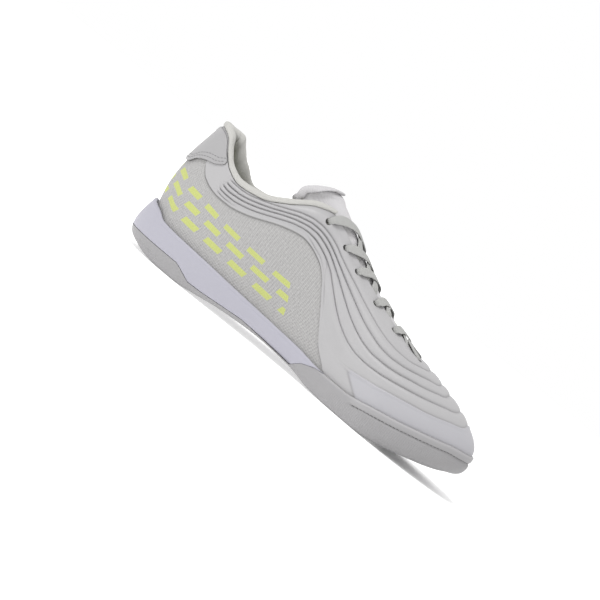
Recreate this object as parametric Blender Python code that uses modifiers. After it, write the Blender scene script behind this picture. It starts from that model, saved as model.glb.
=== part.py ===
"""Indoor soccer shoe for the left foot, standing on its sole.

+X points to the toe, +Y to the outer side of the foot, +Z up. The ground is z = 0 and
the origin is under the middle of the shoe. Tables hold shares of the named sizes.
"""
import math
from collections import namedtuple

import bmesh
import bpy
from mathutils import Vector

MM = 0.001

# Driving sizes
SHOE_LENGTH = 297.0 * MM
BALL_WIDTH = 100.0 * MM
HEEL_WIDTH = 74.0 * MM
SOLE_HEIGHT = 38.7 * MM
COLLAR_HEIGHT = 106.5 * MM
TONGUE_RISE = 14.3 * MM
TONGUE_HEIGHT = COLLAR_HEIGHT + TONGUE_RISE
OUTSOLE_THICKNESS = 4.0 * MM
RIM_THICKNESS = 1.8 * MM
LIP_HEIGHT = 2.6 * MM
GROOVE_DEPTH = 0.9 * MM
WALL = 2.0 * MM
MARGIN = 7.0 * MM
TURN_RADIUS = 3.0 * MM
INSOLE_THICKNESS = 3.5 * MM
TONGUE_THICKNESS = 3.0 * MM
TONGUE_WING = 10.0 * MM
TONGUE_CLEARANCE = 0.6 * MM
RIB_HEIGHT = 0.7 * MM
CREASE_DEPTH = 0.5 * MM
QUARTER_RECESS = 0.7 * MM
ROLL_WIDTH = 4.6 * MM
ROLL_HEIGHT = 4.0 * MM
ROLL_OVERHANG = 0.8 * MM
HEEL_PADDING = 3.5 * MM
LINING_DROP = 16.0 * MM
TAB_THICKNESS = 1.0 * MM
EYELET_DIAMETER = 5.0 * MM
EYELET_EDGE = 7.5 * MM
LACE_WIDTH = 6.4 * MM
LACE_THICKNESS = 1.4 * MM
LACE_ARCH = 1.3 * MM
LACE_DIVE = 2.0 * MM
TREAD_DEPTH = 1.3 * MM
TREAD_WIDTH = 2.2 * MM
TREAD_PITCH = 11.0 * MM
CUT_REACH = 6.0 * MM
GAP = 0.3 * MM

RING_STEPS = 64
FOAM_STEPS = 48

SoleRow = namedtuple("SoleRow", "at medial lateral bottom rise run bite inset bed")

# Widths are shares of the local width, heights of the sole's height, run and inset of the rim.
SOLE = [
    SoleRow(0.0000, 0.000, 0.000, 0.155, 0.360, 4.6, 0.940, 1.7, 0.556),
    SoleRow(0.0371, 0.300, 0.300, 0.083, 0.350, 4.4, 0.830, 1.6, 0.553),
    SoleRow(0.0721, 0.400, 0.400, 0.031, 0.336, 4.1, 0.722, 1.5, 0.550),
    SoleRow(0.1247, 0.470, 0.470, 0.000, 0.284, 3.5, 0.690, 1.3, 0.543),
    SoleRow(0.1847, 0.495, 0.505, 0.000, 0.233, 3.1, 0.666, 1.2, 0.532),
    SoleRow(0.2436, 0.493, 0.513, 0.052, 0.190, 3.0, 0.638, 1.1, 0.512),
    SoleRow(0.3212, 0.443, 0.508, 0.124, 0.168, 3.2, 0.592, 1.0, 0.470),
    SoleRow(0.4182, 0.373, 0.487, 0.158, 0.155, 3.4, 0.540, 0.9, 0.419),
    SoleRow(0.5152, 0.352, 0.474, 0.119, 0.155, 3.3, 0.491, 0.8, 0.359),
    SoleRow(0.5927, 0.395, 0.489, 0.020, 0.180, 3.0, 0.430, 0.6, 0.307),
    SoleRow(0.6606, 0.448, 0.504, 0.000, 0.180, 2.8, 0.426, 0.5, 0.295),
    SoleRow(0.7479, 0.500, 0.495, 0.000, 0.180, 2.8, 0.508, 0.5, 0.341),
    SoleRow(0.8061, 0.490, 0.455, 0.065, 0.194, 2.9, 0.586, 0.5, 0.393),
    SoleRow(0.8642, 0.455, 0.380, 0.160, 0.207, 3.0, 0.686, 0.5, 0.452),
    SoleRow(0.9127, 0.395, 0.290, 0.243, 0.225, 3.3, 0.765, 0.5, 0.525),
    SoleRow(0.9515, 0.325, 0.195, 0.325, 0.233, 3.7, 0.832, 0.5, 0.590),
    SoleRow(0.9806, 0.240, 0.095, 0.405, 0.233, 4.0, 0.858, 0.5, 0.635),
    SoleRow(1.0000, 0.070, -0.070, 0.455, 0.233, 4.2, 0.875, 0.5, 0.660),
]

WallRow = namedtuple("WallRow", "at top_x top_y top_z rise lean out drop")

# One row per column of the wall: where its top edge lies and how it leaves both ends.
WALL_ROWS = [
    WallRow(0.0000, 0.0286, 0.000, 1.000, 0.263, 0.066, 0.047, 0.263),
    WallRow(0.0371, 0.0458, 0.135, 0.992, 0.258, 0.063, 0.047, 0.258),
    WallRow(0.0721, 0.0673, 0.190, 0.962, 0.245, 0.056, 0.047, 0.244),
    WallRow(0.1247, 0.0943, 0.235, 0.872, 0.225, 0.047, 0.047, 0.225),
    WallRow(0.1847, 0.1246, 0.270, 0.800, 0.207, 0.038, 0.056, 0.188),
    WallRow(0.2436, 0.1650, 0.300, 0.775, 0.197, 0.033, 0.056, 0.169),
    WallRow(0.3212, 0.2256, 0.325, 0.796, 0.207, 0.028, 0.056, 0.188),
    WallRow(0.3988, 0.2862, 0.325, 0.873, 0.225, 0.023, 0.066, 0.225),
    WallRow(0.4667, 0.3434, 0.285, 0.978, 0.254, 0.019, 0.085, 0.263),
    WallRow(0.5152, 0.3839, 0.225, 1.009, 0.263, 0.019, 0.122, 0.244),
    WallRow(0.5636, 0.4243, 0.180, 0.972, 0.263, 0.019, 0.160, 0.207),
    WallRow(0.6315, 0.4882, 0.158, 0.878, 0.235, 0.019, 0.207, 0.188),
    WallRow(0.7091, 0.5623, 0.138, 0.782, 0.207, 0.023, 0.235, 0.150),
    WallRow(0.7867, 0.6297, 0.122, 0.711, 0.188, 0.028, 0.254, 0.122),
    WallRow(0.8545, 0.6835, 0.105, 0.659, 0.160, 0.023, 0.272, 0.103),
    WallRow(0.9127, 0.7171, 0.085, 0.632, 0.161, 0.007, 0.194, 0.050),
    WallRow(0.9612, 0.7357, 0.050, 0.618, 0.167, -0.011, 0.149, 0.015),
    WallRow(1.0000, 0.7441, 0.000, 0.613, 0.163, -0.020, 0.149, 0.013),
]

Point = namedtuple("Point", "x z")
END_RISE = Point(0.012, 0.20)


def line(*pairs):
    """A line drawn on the side of the wall: x by the length, z by the collar height."""
    return [Point(*pair) for pair in pairs]


# The seam of the recessed quarter and the five creases between the ribs, bottom to top.
SEAM = line((0.000, 0.637), (0.159, 0.622), (0.209, 0.640), (0.254, 0.675), (0.289, 0.722),
            (0.324, 0.752), (0.372, 0.767), (0.400, 0.745), (0.423, 0.712), (0.443, 0.670),
            (0.468, 0.587), (0.488, 0.511), (0.514, 0.408), (0.534, 0.320), (0.562, 0.246),
            (0.587, 0.176), (0.602, 0.140))
CREASES = [
    line((0.153, 0.662), (0.190, 0.657), (0.372, 0.805), (0.423, 0.752), (0.463, 0.671),
         (0.496, 0.589), (0.541, 0.438), (0.585, 0.342), (0.623, 0.304), (0.665, 0.300),
         (0.705, 0.312), (0.748, 0.331), (0.787, 0.357), (0.828, 0.380), (0.868, 0.405),
         (0.908, 0.437), (0.936, 0.456)),
    line((0.153, 0.682), (0.190, 0.673), (0.372, 0.829), (0.422, 0.786), (0.462, 0.711),
         (0.497, 0.632), (0.527, 0.541), (0.563, 0.472), (0.603, 0.411), (0.642, 0.388),
         (0.682, 0.385), (0.726, 0.395), (0.767, 0.415), (0.807, 0.436), (0.847, 0.459),
         (0.879, 0.482), (0.902, 0.499)),
    line((0.153, 0.704), (0.190, 0.698), (0.372, 0.850), (0.423, 0.815), (0.463, 0.748),
         (0.503, 0.678), (0.552, 0.591), (0.583, 0.540), (0.623, 0.485), (0.661, 0.456),
         (0.706, 0.454), (0.746, 0.464), (0.785, 0.484), (0.826, 0.510), (0.858, 0.533)),
    line((0.153, 0.726), (0.190, 0.719), (0.372, 0.875), (0.422, 0.843), (0.461, 0.787),
         (0.502, 0.720), (0.532, 0.673), (0.571, 0.623), (0.611, 0.577), (0.651, 0.535),
         (0.690, 0.516), (0.725, 0.511), (0.755, 0.519), (0.785, 0.534), (0.816, 0.558)),
    line((0.153, 0.747), (0.190, 0.739), (0.372, 0.895), (0.421, 0.872), (0.451, 0.832),
         (0.490, 0.778), (0.531, 0.723), (0.570, 0.674), (0.610, 0.634), (0.649, 0.597),
         (0.688, 0.572), (0.723, 0.567), (0.754, 0.571), (0.787, 0.583)),
]
RIB_START = 0.140
RIB_FULL = 0.170
SEAM_END = 0.574


def blend(low, high, value):
    """0 below low, 1 above high, with a soft passage between them."""
    share = min(1.0, max(0.0, (value - low) / (high - low)))
    return share * share * (3.0 - 2.0 * share)


def smooth(keys, values, key):
    """A curve through the values that keeps level where they turn."""
    if key <= keys[0]:
        return values[0]
    if key >= keys[-1]:
        return values[-1]
    index = max(i for i, start in enumerate(keys) if start <= key)
    steps = [b - a for a, b in zip(keys, keys[1:])]
    slopes = [(b - a) / step for a, b, step in zip(values, values[1:], steps)]

    def tangent(i):
        if i == 0:
            return slopes[0]
        if i == len(values) - 1:
            return slopes[-1]
        before, after = slopes[i - 1], slopes[i]
        if before * after <= 0:
            return 0.0
        heavy = 2 * steps[i] + steps[i - 1]
        light = steps[i] + 2 * steps[i - 1]
        return (heavy + light) / (heavy / before + light / after)

    step = steps[index]
    s = (key - keys[index]) / step
    start = (1 + 2 * s) * (1 - s) ** 2 * values[index]
    end = s * s * (3 - 2 * s) * values[index + 1]
    leave = s * (1 - s) ** 2 * step * tangent(index)
    arrive = s * s * (s - 1) * step * tangent(index + 1)
    return start + end + leave + arrive


def angle_of(at):
    return math.acos(1.0 - 2.0 * at)


def table(rows, column, phi):
    """A table's column at an angle of the ring, where 0 is the heel and pi the toe."""
    angle = phi if phi <= math.pi else 2 * math.pi - phi
    return smooth([angle_of(row.at) for row in rows], [getattr(row, column) for row in rows], angle)


def along(phi):
    return (1.0 - math.cos(phi)) / 2.0


def is_lateral(phi):
    return math.sin(phi) >= 0


def local_width(at):
    return HEEL_WIDTH + (BALL_WIDTH - HEEL_WIDTH) * blend(0.224, 0.709, at)


def outline(phi):
    """The sole's widest outline at an angle of the ring."""
    at = along(phi)
    side = "lateral" if is_lateral(phi) else "medial"
    y = table(SOLE, side, phi) * local_width(at)
    return Vector(((at - 0.5) * SHOE_LENGTH, y if is_lateral(phi) else -y, 0.0))


def outward(phi):
    step = 0.01
    run = outline(phi + step) - outline((phi - step) % (2 * math.pi))
    return Vector((-run.y, run.x, 0.0)).normalized()


def ring_angles(count=RING_STEPS):
    return [2 * math.pi * i / count for i in range(count)]


def centre_shift():
    """How far the outline's middle lies from the foot's axis, to stand over the origin."""
    ys = [outline(phi).y for phi in ring_angles(360)]
    return -(max(ys) + min(ys)) / 2


Y_SHIFT = centre_shift()


def sole_point(phi, inset, height):
    point = outline(phi) - outward(phi) * inset
    return Vector((point.x, point.y + Y_SHIFT, height))


def sole_height(column, phi):
    return table(SOLE, column, phi) * SOLE_HEIGHT


def rim_inset(phi):
    return table(SOLE, "inset", phi) * RIM_THICKNESS


# Mesh building

def new_object(name, bm, collection):
    mesh = bpy.data.meshes.new(name)
    bm.to_mesh(mesh)
    bm.free()
    obj = bpy.data.objects.new(name, mesh)
    collection.objects.link(obj)
    return obj


def add_rings(bm, rings, closed=True, tube=False):
    """Skins rings of points with quads, each ring one step further up the outside."""
    rows = [[bm.verts.new(point) for point in ring] for ring in rings]
    pairs = list(zip(rows, rows[1:]))
    if tube:
        pairs.append((rows[-1], rows[0]))
    for low, high in pairs:
        last = len(low) if closed else len(low) - 1
        for i in range(last):
            j = (i + 1) % len(low)
            bm.faces.new((low[i], high[i], high[j], low[j]))
    return rows


def add_ladder(bm, ring, up):
    """Closes a ring with rungs from its outer side to its inner side."""
    count = len(ring)
    half = count // 2
    faces = [(ring[0], ring[1], ring[-1])]
    for i in range(1, half - 1):
        faces.append((ring[i], ring[i + 1], ring[count - i - 1], ring[count - i]))
    faces.append((ring[half - 1], ring[half], ring[half + 1]))
    for face in faces:
        bm.faces.new(tuple(reversed(face)) if up else face)


def face_out(bm):
    """Splits the faces of a closed body into triangles that all point out of it."""
    bmesh.ops.triangulate(bm, faces=bm.faces, quad_method="FIXED")
    bmesh.ops.recalc_face_normals(bm, faces=bm.faces)
    if bm.calc_volume(signed=True) < 0:
        bmesh.ops.reverse_faces(bm, faces=bm.faces)


def ring_solid(name, rings, collection):
    """A closed body from rings that run from its bottom cap round to its top cap."""
    bm = bmesh.new()
    rows = add_rings(bm, rings)
    add_ladder(bm, rows[0], up=False)
    add_ladder(bm, rows[-1], up=True)
    face_out(bm)
    return new_object(name, bm, collection)


def add_boolean(obj, operation, cutter):
    modifier = obj.modifiers.new(operation.title(), "BOOLEAN")
    modifier.operation = operation
    modifier.solver = "EXACT"
    modifier.object = cutter
    cutter.hide_render = True
    cutter.display_type = "WIRE"


def give_material(obj, colour, roughness):
    material = bpy.data.materials.new(obj.name)
    material.use_nodes = True
    shader = material.node_tree.nodes["Principled BSDF"]
    shader.inputs["Base Color"].default_value = (*colour, 1.0)
    shader.inputs["Roughness"].default_value = roughness
    shader.inputs["Metallic"].default_value = 0.0
    obj.data.materials.append(material)


# Sole

def sole_rings():
    """The whole sole: rounded bottom edge, bulging side, lip with its groove, rim and bed."""
    def ring(inset, height):
        return [sole_point(phi, inset(phi), height(phi)) for phi in ring_angles()]

    def run(phi):
        return table(SOLE, "run", phi) * RIM_THICKNESS

    def bottom(phi):
        return sole_height("bottom", phi)

    def rise(phi):
        return sole_height("rise", phi)

    def bite(phi):
        return sole_height("bite", phi)

    def groove(phi):
        return GROOVE_DEPTH * blend(0.632, 0.709, along(phi))

    return [
        ring(run, bottom),
        ring(lambda phi: 0.3 * run(phi), lambda phi: bottom(phi) + 0.28 * rise(phi)),
        ring(lambda phi: 0.0, lambda phi: bottom(phi) + rise(phi)),
        ring(lambda phi: 0.6 * rim_inset(phi), lambda phi: bite(phi) - 1.6 * LIP_HEIGHT),
        ring(lambda phi: 0.8 * rim_inset(phi) + groove(phi), lambda phi: bite(phi) - 1.2 * LIP_HEIGHT),
        ring(lambda phi: 0.8 * rim_inset(phi), lambda phi: bite(phi) - 0.9 * LIP_HEIGHT),
        ring(rim_inset, bite),
        ring(lambda phi: rim_inset(phi) + RIM_THICKNESS, bite),
        ring(lambda phi: rim_inset(phi) + RIM_THICKNESS, lambda phi: sole_height("bed", phi)),
    ]


SplitRow = namedtuple("SplitRow", "at height")

# Where rubber gives way to foam on the side of the sole, by the length and the sole's height.
SPLIT = [
    SplitRow(0.000, 0.297),
    SplitRow(0.165, 0.297),
    SplitRow(0.179, 0.261),
    SplitRow(0.215, 0.150),
    SplitRow(0.253, 0.160),
    SplitRow(0.370, 0.232),
    SplitRow(0.486, 0.172),
    SplitRow(0.522, 0.150),
    SplitRow(0.545, 0.305),
    SplitRow(0.575, 0.395),
    SplitRow(0.602, 0.425),
    SplitRow(0.612, 1.400),
    SplitRow(1.000, 1.400),
]
SPLIT_SIDE_WALL = 3.6 * MM


def split_height(at):
    keys = [row.at for row in SPLIT]
    index = max(i for i, start in enumerate(keys[:-1]) if start <= at)
    low, high = SPLIT[index], SPLIT[index + 1]
    share = (at - low.at) / (high.at - low.at)
    return (low.height + (high.height - low.height) * share) * SOLE_HEIGHT


def foam_region(name, clearance, collection):
    """The space of the foam: over the split at the side, inside the rubber's wall in front."""
    roof = 2 * SOLE_HEIGHT
    bends = [angle_of(row.at) for row in SPLIT]
    halves = sorted(set(ring_angles(FOAM_STEPS)[:FOAM_STEPS // 2] + bends))
    angles = halves + [2 * math.pi - phi for phi in reversed(halves[1:-1])]

    def floor(phi):
        side = split_height(along(phi))
        under = sole_height("bottom", phi) + OUTSOLE_THICKNESS
        return min(side, under) - clearance

    inner = SPLIT_SIDE_WALL - clearance
    rings = [
        [sole_point(phi, inner + TURN_RADIUS, floor(phi)) for phi in angles],
        [sole_point(phi, inner, split_height(along(phi)) - clearance) for phi in angles],
        [sole_point(phi, -CUT_REACH, split_height(along(phi)) - clearance) for phi in angles],
        [sole_point(phi, -CUT_REACH, roof) for phi in angles],
    ]
    return ring_solid(name, rings, collection)


def tread_cutter(collection):
    """Grooves across the sole that follow its bottom, in the forefoot and the heel."""
    bm = bmesh.new()
    zones = [(0.111, 0.210), (0.568, 0.927)]
    for start, end in zones:
        count = int((end - start) * SHOE_LENGTH / TREAD_PITCH)
        for i in range(count + 1):
            at = start + (end - start) * i / count
            phi = angle_of(at)
            ahead = angle_of(at + 0.01)
            climb = sole_height("bottom", ahead) - sole_height("bottom", phi)
            tilt = math.atan2(climb, 0.01 * SHOE_LENGTH)
            made = bmesh.ops.create_cube(bm, size=1.0)["verts"]
            bmesh.ops.scale(bm, vec=(TREAD_WIDTH, 2 * BALL_WIDTH, 2 * TREAD_DEPTH), verts=made)
            for vert in made:
                x = vert.co.x * math.cos(tilt) - vert.co.z * math.sin(tilt)
                z = vert.co.x * math.sin(tilt) + vert.co.z * math.cos(tilt)
                middle = Vector(((at - 0.5) * SHOE_LENGTH, 0.0, sole_height("bottom", phi)))
                vert.co = middle + Vector((x, vert.co.y, z))
    return new_object("tread_cutter", bm, collection)


def make_sole(parts, cutters):
    outsole = ring_solid("outsole", sole_rings(), parts)
    midsole = ring_solid("midsole", sole_rings(), parts)
    add_boolean(midsole, "INTERSECT", foam_region("foam_region", 0.0, cutters))
    add_boolean(outsole, "DIFFERENCE", foam_region("foam_clearance", 1.3 * GAP, cutters))
    add_boolean(outsole, "DIFFERENCE", tread_cutter(cutters))
    give_material(outsole, (0.52, 0.51, 0.51), 0.6)
    give_material(midsole, (0.60, 0.59, 0.66), 0.55)


# Upper

def wall_base(phi):
    return rim_inset(phi) + RIM_THICKNESS + GAP


def wall_curve(phi):
    """The four control points of a column of the wall, from the bite line to its top edge."""
    normal = outward(phi)
    foot = sole_point(phi, wall_base(phi), sole_height("bite", phi) + GAP)
    side = 1.0 if is_lateral(phi) else -1.0
    top = Vector((
        (table(WALL_ROWS, "top_x", phi) - 0.5) * SHOE_LENGTH,
        side * table(WALL_ROWS, "top_y", phi) * BALL_WIDTH + Y_SHIFT,
        table(WALL_ROWS, "top_z", phi) * COLLAR_HEIGHT,
    ))
    spread = foot - top
    spread.z = 0.0
    turn = blend(0.515, 0.951, along(phi))
    away = (spread.normalized() * turn + normal * (1.0 - turn)).normalized()
    first = foot + normal * table(WALL_ROWS, "lean", phi) * COLLAR_HEIGHT
    first.z += table(WALL_ROWS, "rise", phi) * COLLAR_HEIGHT
    second = top + away * table(WALL_ROWS, "out", phi) * COLLAR_HEIGHT
    second.z -= table(WALL_ROWS, "drop", phi) * COLLAR_HEIGHT
    return foot, first, second, top


def on_curve(curve, v):
    a, b, c, d = curve
    w = 1.0 - v
    return a * w ** 3 + b * 3 * v * w * w + c * 3 * v * v * w + d * v ** 3


def wall_point(phi, v):
    return on_curve(wall_curve(phi % (2 * math.pi)), v)


def wall_normal(phi, v):
    step = 0.02
    around = wall_point(phi + step, v) - wall_point(phi - step, v)
    low = max(0.0, v - step)
    high = min(1.0, v + step)
    up = wall_point(phi, high) - wall_point(phi, low)
    return up.cross(around).normalized()


def off_wall(phi, v, distance):
    return wall_point(phi, v) + wall_normal(phi, v) * distance


def line_height(points, x):
    """A side line's height, rising steeply past its end on the shoe's centre."""
    last = points[-1]
    keys = [point.x for point in points] + [last.x + END_RISE.x]
    values = [point.z for point in points] + [last.z + END_RISE.z]
    return smooth(keys, values, x / SHOE_LENGTH + 0.5) * COLLAR_HEIGHT


def where_line_crosses(phi, points):
    """How far up a column a side line crosses it."""
    curve = wall_curve(phi)
    steps = 40
    before = None
    for i in range(steps + 1):
        v = i / steps
        point = on_curve(curve, v)
        over = point.z - line_height(points, point.x)
        if over >= 0:
            if before is None:
                return v
            return (i - 1 + before / (before - over)) / steps
        before = over
    return 1.0


RowSpot = namedtuple("RowSpot", "v relief")


def wall_rows(phi):
    """The rows of one column: how far up each lies, and how far it stands off the wall."""
    at = along(phi)
    creases = [where_line_crosses(phi, points) for points in CREASES]
    x_share = wall_point(phi, creases[0]).x / SHOE_LENGTH + 0.5
    ribs = blend(RIB_START, RIB_FULL, x_share)
    recess = QUARTER_RECESS * (1.0 - blend(SEAM_END - 0.04, SEAM_END, at))
    seam = where_line_crosses(phi, SEAM)
    low = creases[0]
    open_seam = blend(SEAM_END, SEAM_END + 0.06, at)
    seam = min(seam, 0.93 * low) * (1.0 - open_seam) + 0.5 * low * open_seam
    seam = max(seam, 0.12 * low)
    rows = [
        RowSpot(0.0, -recess * blend(0.0, 0.3, seam)),
        RowSpot(0.5 * seam, -recess),
        RowSpot(seam - 0.03 * low, -recess),
        RowSpot(seam, 0.0),
    ]
    for i, crease in enumerate(creases):
        rows.append(RowSpot(crease, -CREASE_DEPTH * ribs))
        if i + 1 < len(creases):
            rows.append(RowSpot((crease + creases[i + 1]) / 2, RIB_HEIGHT * ribs))
    last = creases[-1]
    rows.append(RowSpot(last + 0.22 * (1 - last), 0.3 * RIB_HEIGHT * ribs))
    rows.append(RowSpot(last + 0.6 * (1 - last), 0.0))
    rows.append(RowSpot(1.0, 0.0))
    least = 0.008
    spots = []
    floor = 0.0
    for row in rows:
        v = max(row.v, floor)
        spots.append(RowSpot(min(v, 1.0), row.relief))
        floor = v + least
    ceiling = 1.0
    for i in reversed(range(len(spots))):
        v = min(spots[i].v, ceiling)
        spots[i] = RowSpot(v, spots[i].relief)
        ceiling = v - least
    return spots


def margin_points(phi, depth):
    """The wall below the bite line, a depth in from its face: down the rim, turned in over the bed."""
    bed = sole_height("bed", phi) + GAP
    base = wall_base(phi)
    bend = TURN_RADIUS - depth
    turned = TURN_RADIUS - bend * math.sqrt(0.5)
    return [
        sole_point(phi, base + MARGIN, bed + depth),
        sole_point(phi, base + TURN_RADIUS, bed + depth),
        sole_point(phi, base + turned, bed + turned),
        sole_point(phi, base + depth, bed + TURN_RADIUS),
    ]


def make_upper(parts, cutters):
    """The wall as one closed shell: ribbed outside, smooth inside."""
    columns = []
    for phi in ring_angles():
        rows = wall_rows(phi)
        outside = margin_points(phi, 0.0) + [off_wall(phi, row.v, row.relief) for row in rows]
        inside = margin_points(phi, WALL) + [off_wall(phi, row.v, -WALL) for row in rows]
        columns.append(outside + list(reversed(inside)))
    bm = bmesh.new()
    add_rings(bm, [list(ring) for ring in zip(*columns)], tube=True)
    face_out(bm)
    upper = new_object("upper", bm, parts)
    add_boolean(upper, "DIFFERENCE", eyelet_cutter(cutters))
    give_material(upper, (0.57, 0.56, 0.57), 0.6)


# Eyelets: the angles of the columns that carry them, from the top of the throat to its end.
EYELET_AT = [0.512, 0.594, 0.651, 0.727, 0.800, 0.893]


def edge_share(phi, distance):
    """How far up a column a place lies that is a distance below its top edge."""
    v = 1.0
    top = wall_point(phi, 1.0)
    while (wall_point(phi, v) - top).length < distance:
        v -= 0.005
    return v


def eyelet_cutter(collection):
    bm = bmesh.new()
    for at in EYELET_AT:
        for phi in (angle_of(at), 2 * math.pi - angle_of(at)):
            v = edge_share(phi, EYELET_EDGE)
            normal = wall_normal(phi, v)
            turn = Vector((0.0, 0.0, 1.0)).rotation_difference(normal).to_matrix().to_4x4()
            made = bmesh.ops.create_cone(bm, cap_ends=True, segments=8, radius1=EYELET_DIAMETER / 2,
                                         radius2=EYELET_DIAMETER / 2, depth=6 * WALL)["verts"]
            bmesh.ops.transform(bm, matrix=turn, verts=made)
            bmesh.ops.translate(bm, vec=wall_point(phi, v), verts=made)
    return new_object("eyelet_cutter", bm, collection)


# Insole

def make_insole(parts):
    def ring(inset, height):
        return [sole_point(phi, wall_base(phi) + inset, sole_height("bed", phi) + height)
                for phi in ring_angles()]

    step = MARGIN + GAP
    shelf = GAP + WALL + GAP
    side = WALL + 5 * GAP
    insole = ring_solid("insole", [
        ring(step, GAP),
        ring(step, shelf),
        ring(side + TURN_RADIUS / 4, shelf),
        ring(side, shelf + INSOLE_THICKNESS),
    ], parts)
    give_material(insole, (0.45, 0.45, 0.45), 0.9)


# Tongue

THROAT_START = 0.5345
FILL_STEPS = 4
TONGUE_ROUND = 1.6

TongueRow = namedtuple("TongueRow", "x z half back down")

# The free top of the tongue: its middle, then how far its sides stand out, back and down.
TONGUE_TOP = [
    TongueRow(0.3720, 0.955, 0.205, 0.080, 0.200),
    TongueRow(0.3600, 0.982, 0.205, 0.088, 0.205),
    TongueRow(0.3480, 1.000, 0.195, 0.092, 0.200),
]


def under_wall(phi, v):
    return off_wall(phi, v, -(WALL + TONGUE_CLEARANCE))


CROWN_REACH = 0.31


def bridge(start, start_run, end, end_run, share):
    reach = CROWN_REACH * (end - start).length
    return on_curve((start, start + start_run * reach, end + end_run * reach, end), share)


def tongue_section(phi):
    """Across the tongue at one pair of columns, from its outer edge to its inner edge."""
    other = 2 * math.pi - phi
    ends = []
    for angle in (phi, other):
        deep = edge_share(angle, TONGUE_WING)
        wing = [under_wall(angle, v) for v in (deep, (1 + deep) / 2, 1.0)]
        run = (wing[2] - wing[1]).normalized()
        ends.append((wing, run))
    (near, near_run), (far, far_run) = ends
    middle = [bridge(near[2], near_run, far[2], far_run, i / FILL_STEPS) for i in range(1, FILL_STEPS)]
    return near + middle + list(reversed(far))


def tongue_top_section(row):
    count = 6 + FILL_STEPS - 1
    points = []
    for i in range(count):
        q = 1.0 - 2.0 * i / (count - 1)
        swing = q * math.pi / 2 * 0.95
        points.append(Vector((
            (row.x - 0.5 - row.back * (1 - math.cos(swing))) * SHOE_LENGTH,
            row.half * BALL_WIDTH * math.sin(swing) + Y_SHIFT,
            row.z * TONGUE_HEIGHT - row.down * COLLAR_HEIGHT * (1 - math.cos(swing)) ** TONGUE_ROUND,
        )))
    return points


def make_tongue(parts):
    angles = [phi for phi in ring_angles() if phi < math.pi and along(phi) > THROAT_START]
    sections = [tongue_section(phi) for phi in angles]
    tops = [tongue_top_section(row) for row in reversed(TONGUE_TOP)]
    bm = bmesh.new()
    rows = [[bm.verts.new(point) for point in section] for section in tops + sections]
    for upper_row, lower_row in zip(rows, rows[1:]):
        for i in range(len(upper_row) - 1):
            bm.faces.new((upper_row[i], upper_row[i + 1], lower_row[i + 1], lower_row[i]))
    deep = edge_share(math.pi, TONGUE_WING)
    tip = [bm.verts.new(under_wall(math.pi, v)) for v in (deep, (1 + deep) / 2, 1.0)]
    last = rows[-1]
    for side in (last[:3], list(reversed(last[-3:]))):
        for i in range(2):
            face = (side[i], side[i + 1], tip[i + 1], tip[i])
            bm.faces.new(face if side[0] is last[0] else tuple(reversed(face)))
    for i in range(2, len(last) - 3):
        bm.faces.new((last[i], last[i + 1], tip[2]))
    tongue = new_object("tongue", bm, parts)
    pad = tongue.modifiers.new("Pad", "SOLIDIFY")
    pad.thickness = TONGUE_THICKNESS
    pad.offset = -1.0
    pad.use_even_offset = True
    pad.use_quality_normals = True
    give_material(tongue, (0.67, 0.66, 0.66), 0.8)


# Collar roll

ROLL_END = 0.50
ROLL_TAPER = 0.43


def roll_section(phi):
    """The roll's outline across the collar edge: over the edge and down inside as lining."""
    top = wall_point(phi, 1.0)
    normal = wall_normal(phi, 1.0)
    up = (top - wall_point(phi, 0.97)).normalized()
    slim = blend(ROLL_TAPER, ROLL_END, along(phi))
    lining = WALL + (3.0 + 3.0 * slim) * GAP
    inside = ROLL_WIDTH - slim * (ROLL_WIDTH - lining - 0.6 * ROLL_OVERHANG)
    inside += HEEL_PADDING * (1.0 - blend(0.08, 0.24, along(phi)))
    drop = LINING_DROP * (1.0 - 0.85 * slim)
    height = ROLL_HEIGHT * (1.0 - 0.3 * slim)
    over_edge = [
        (-lining, 1.5 * GAP),
        (0.3 * ROLL_OVERHANG, 1.5 * GAP),
        (ROLL_OVERHANG, 0.4 * height),
        (0.0, 0.8 * height),
        (-0.4 * inside, height),
        (-0.75 * inside, 0.8 * height),
        (-inside, 0.3 * height),
    ]
    half = edge_share(phi, 0.5 * drop)
    deep = edge_share(phi, drop)
    points = [off_wall(phi, deep, -lining), off_wall(phi, half, -lining)]
    points += [top + normal * across + up * along_up for across, along_up in over_edge]
    points += [off_wall(phi, half, -inside), off_wall(phi, deep, -0.85 * inside)]
    return points


def make_collar_roll(parts):
    angles = [phi for phi in ring_angles() if along(phi) <= ROLL_END + 0.001]
    medial = [phi for phi in angles if phi > math.pi]
    lateral = [phi for phi in angles if phi <= math.pi]
    sections = [roll_section(phi) for phi in medial + lateral]
    bm = bmesh.new()
    rows = add_rings(bm, sections)
    bm.faces.new(rows[0])
    bm.faces.new(tuple(reversed(rows[-1])))
    face_out(bm)
    roll = new_object("collar_roll", bm, parts)
    give_material(roll, (0.60, 0.59, 0.55), 0.9)


# Heel tab

TAB_EDGE = line((0.000, 0.665), (0.021, 0.672), (0.039, 0.722), (0.060, 0.752), (0.083, 0.768),
                (0.108, 0.812), (0.129, 0.835))
TAB_END = 0.148
TAB_TOP = 0.98
TAB_STEPS = 4


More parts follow.
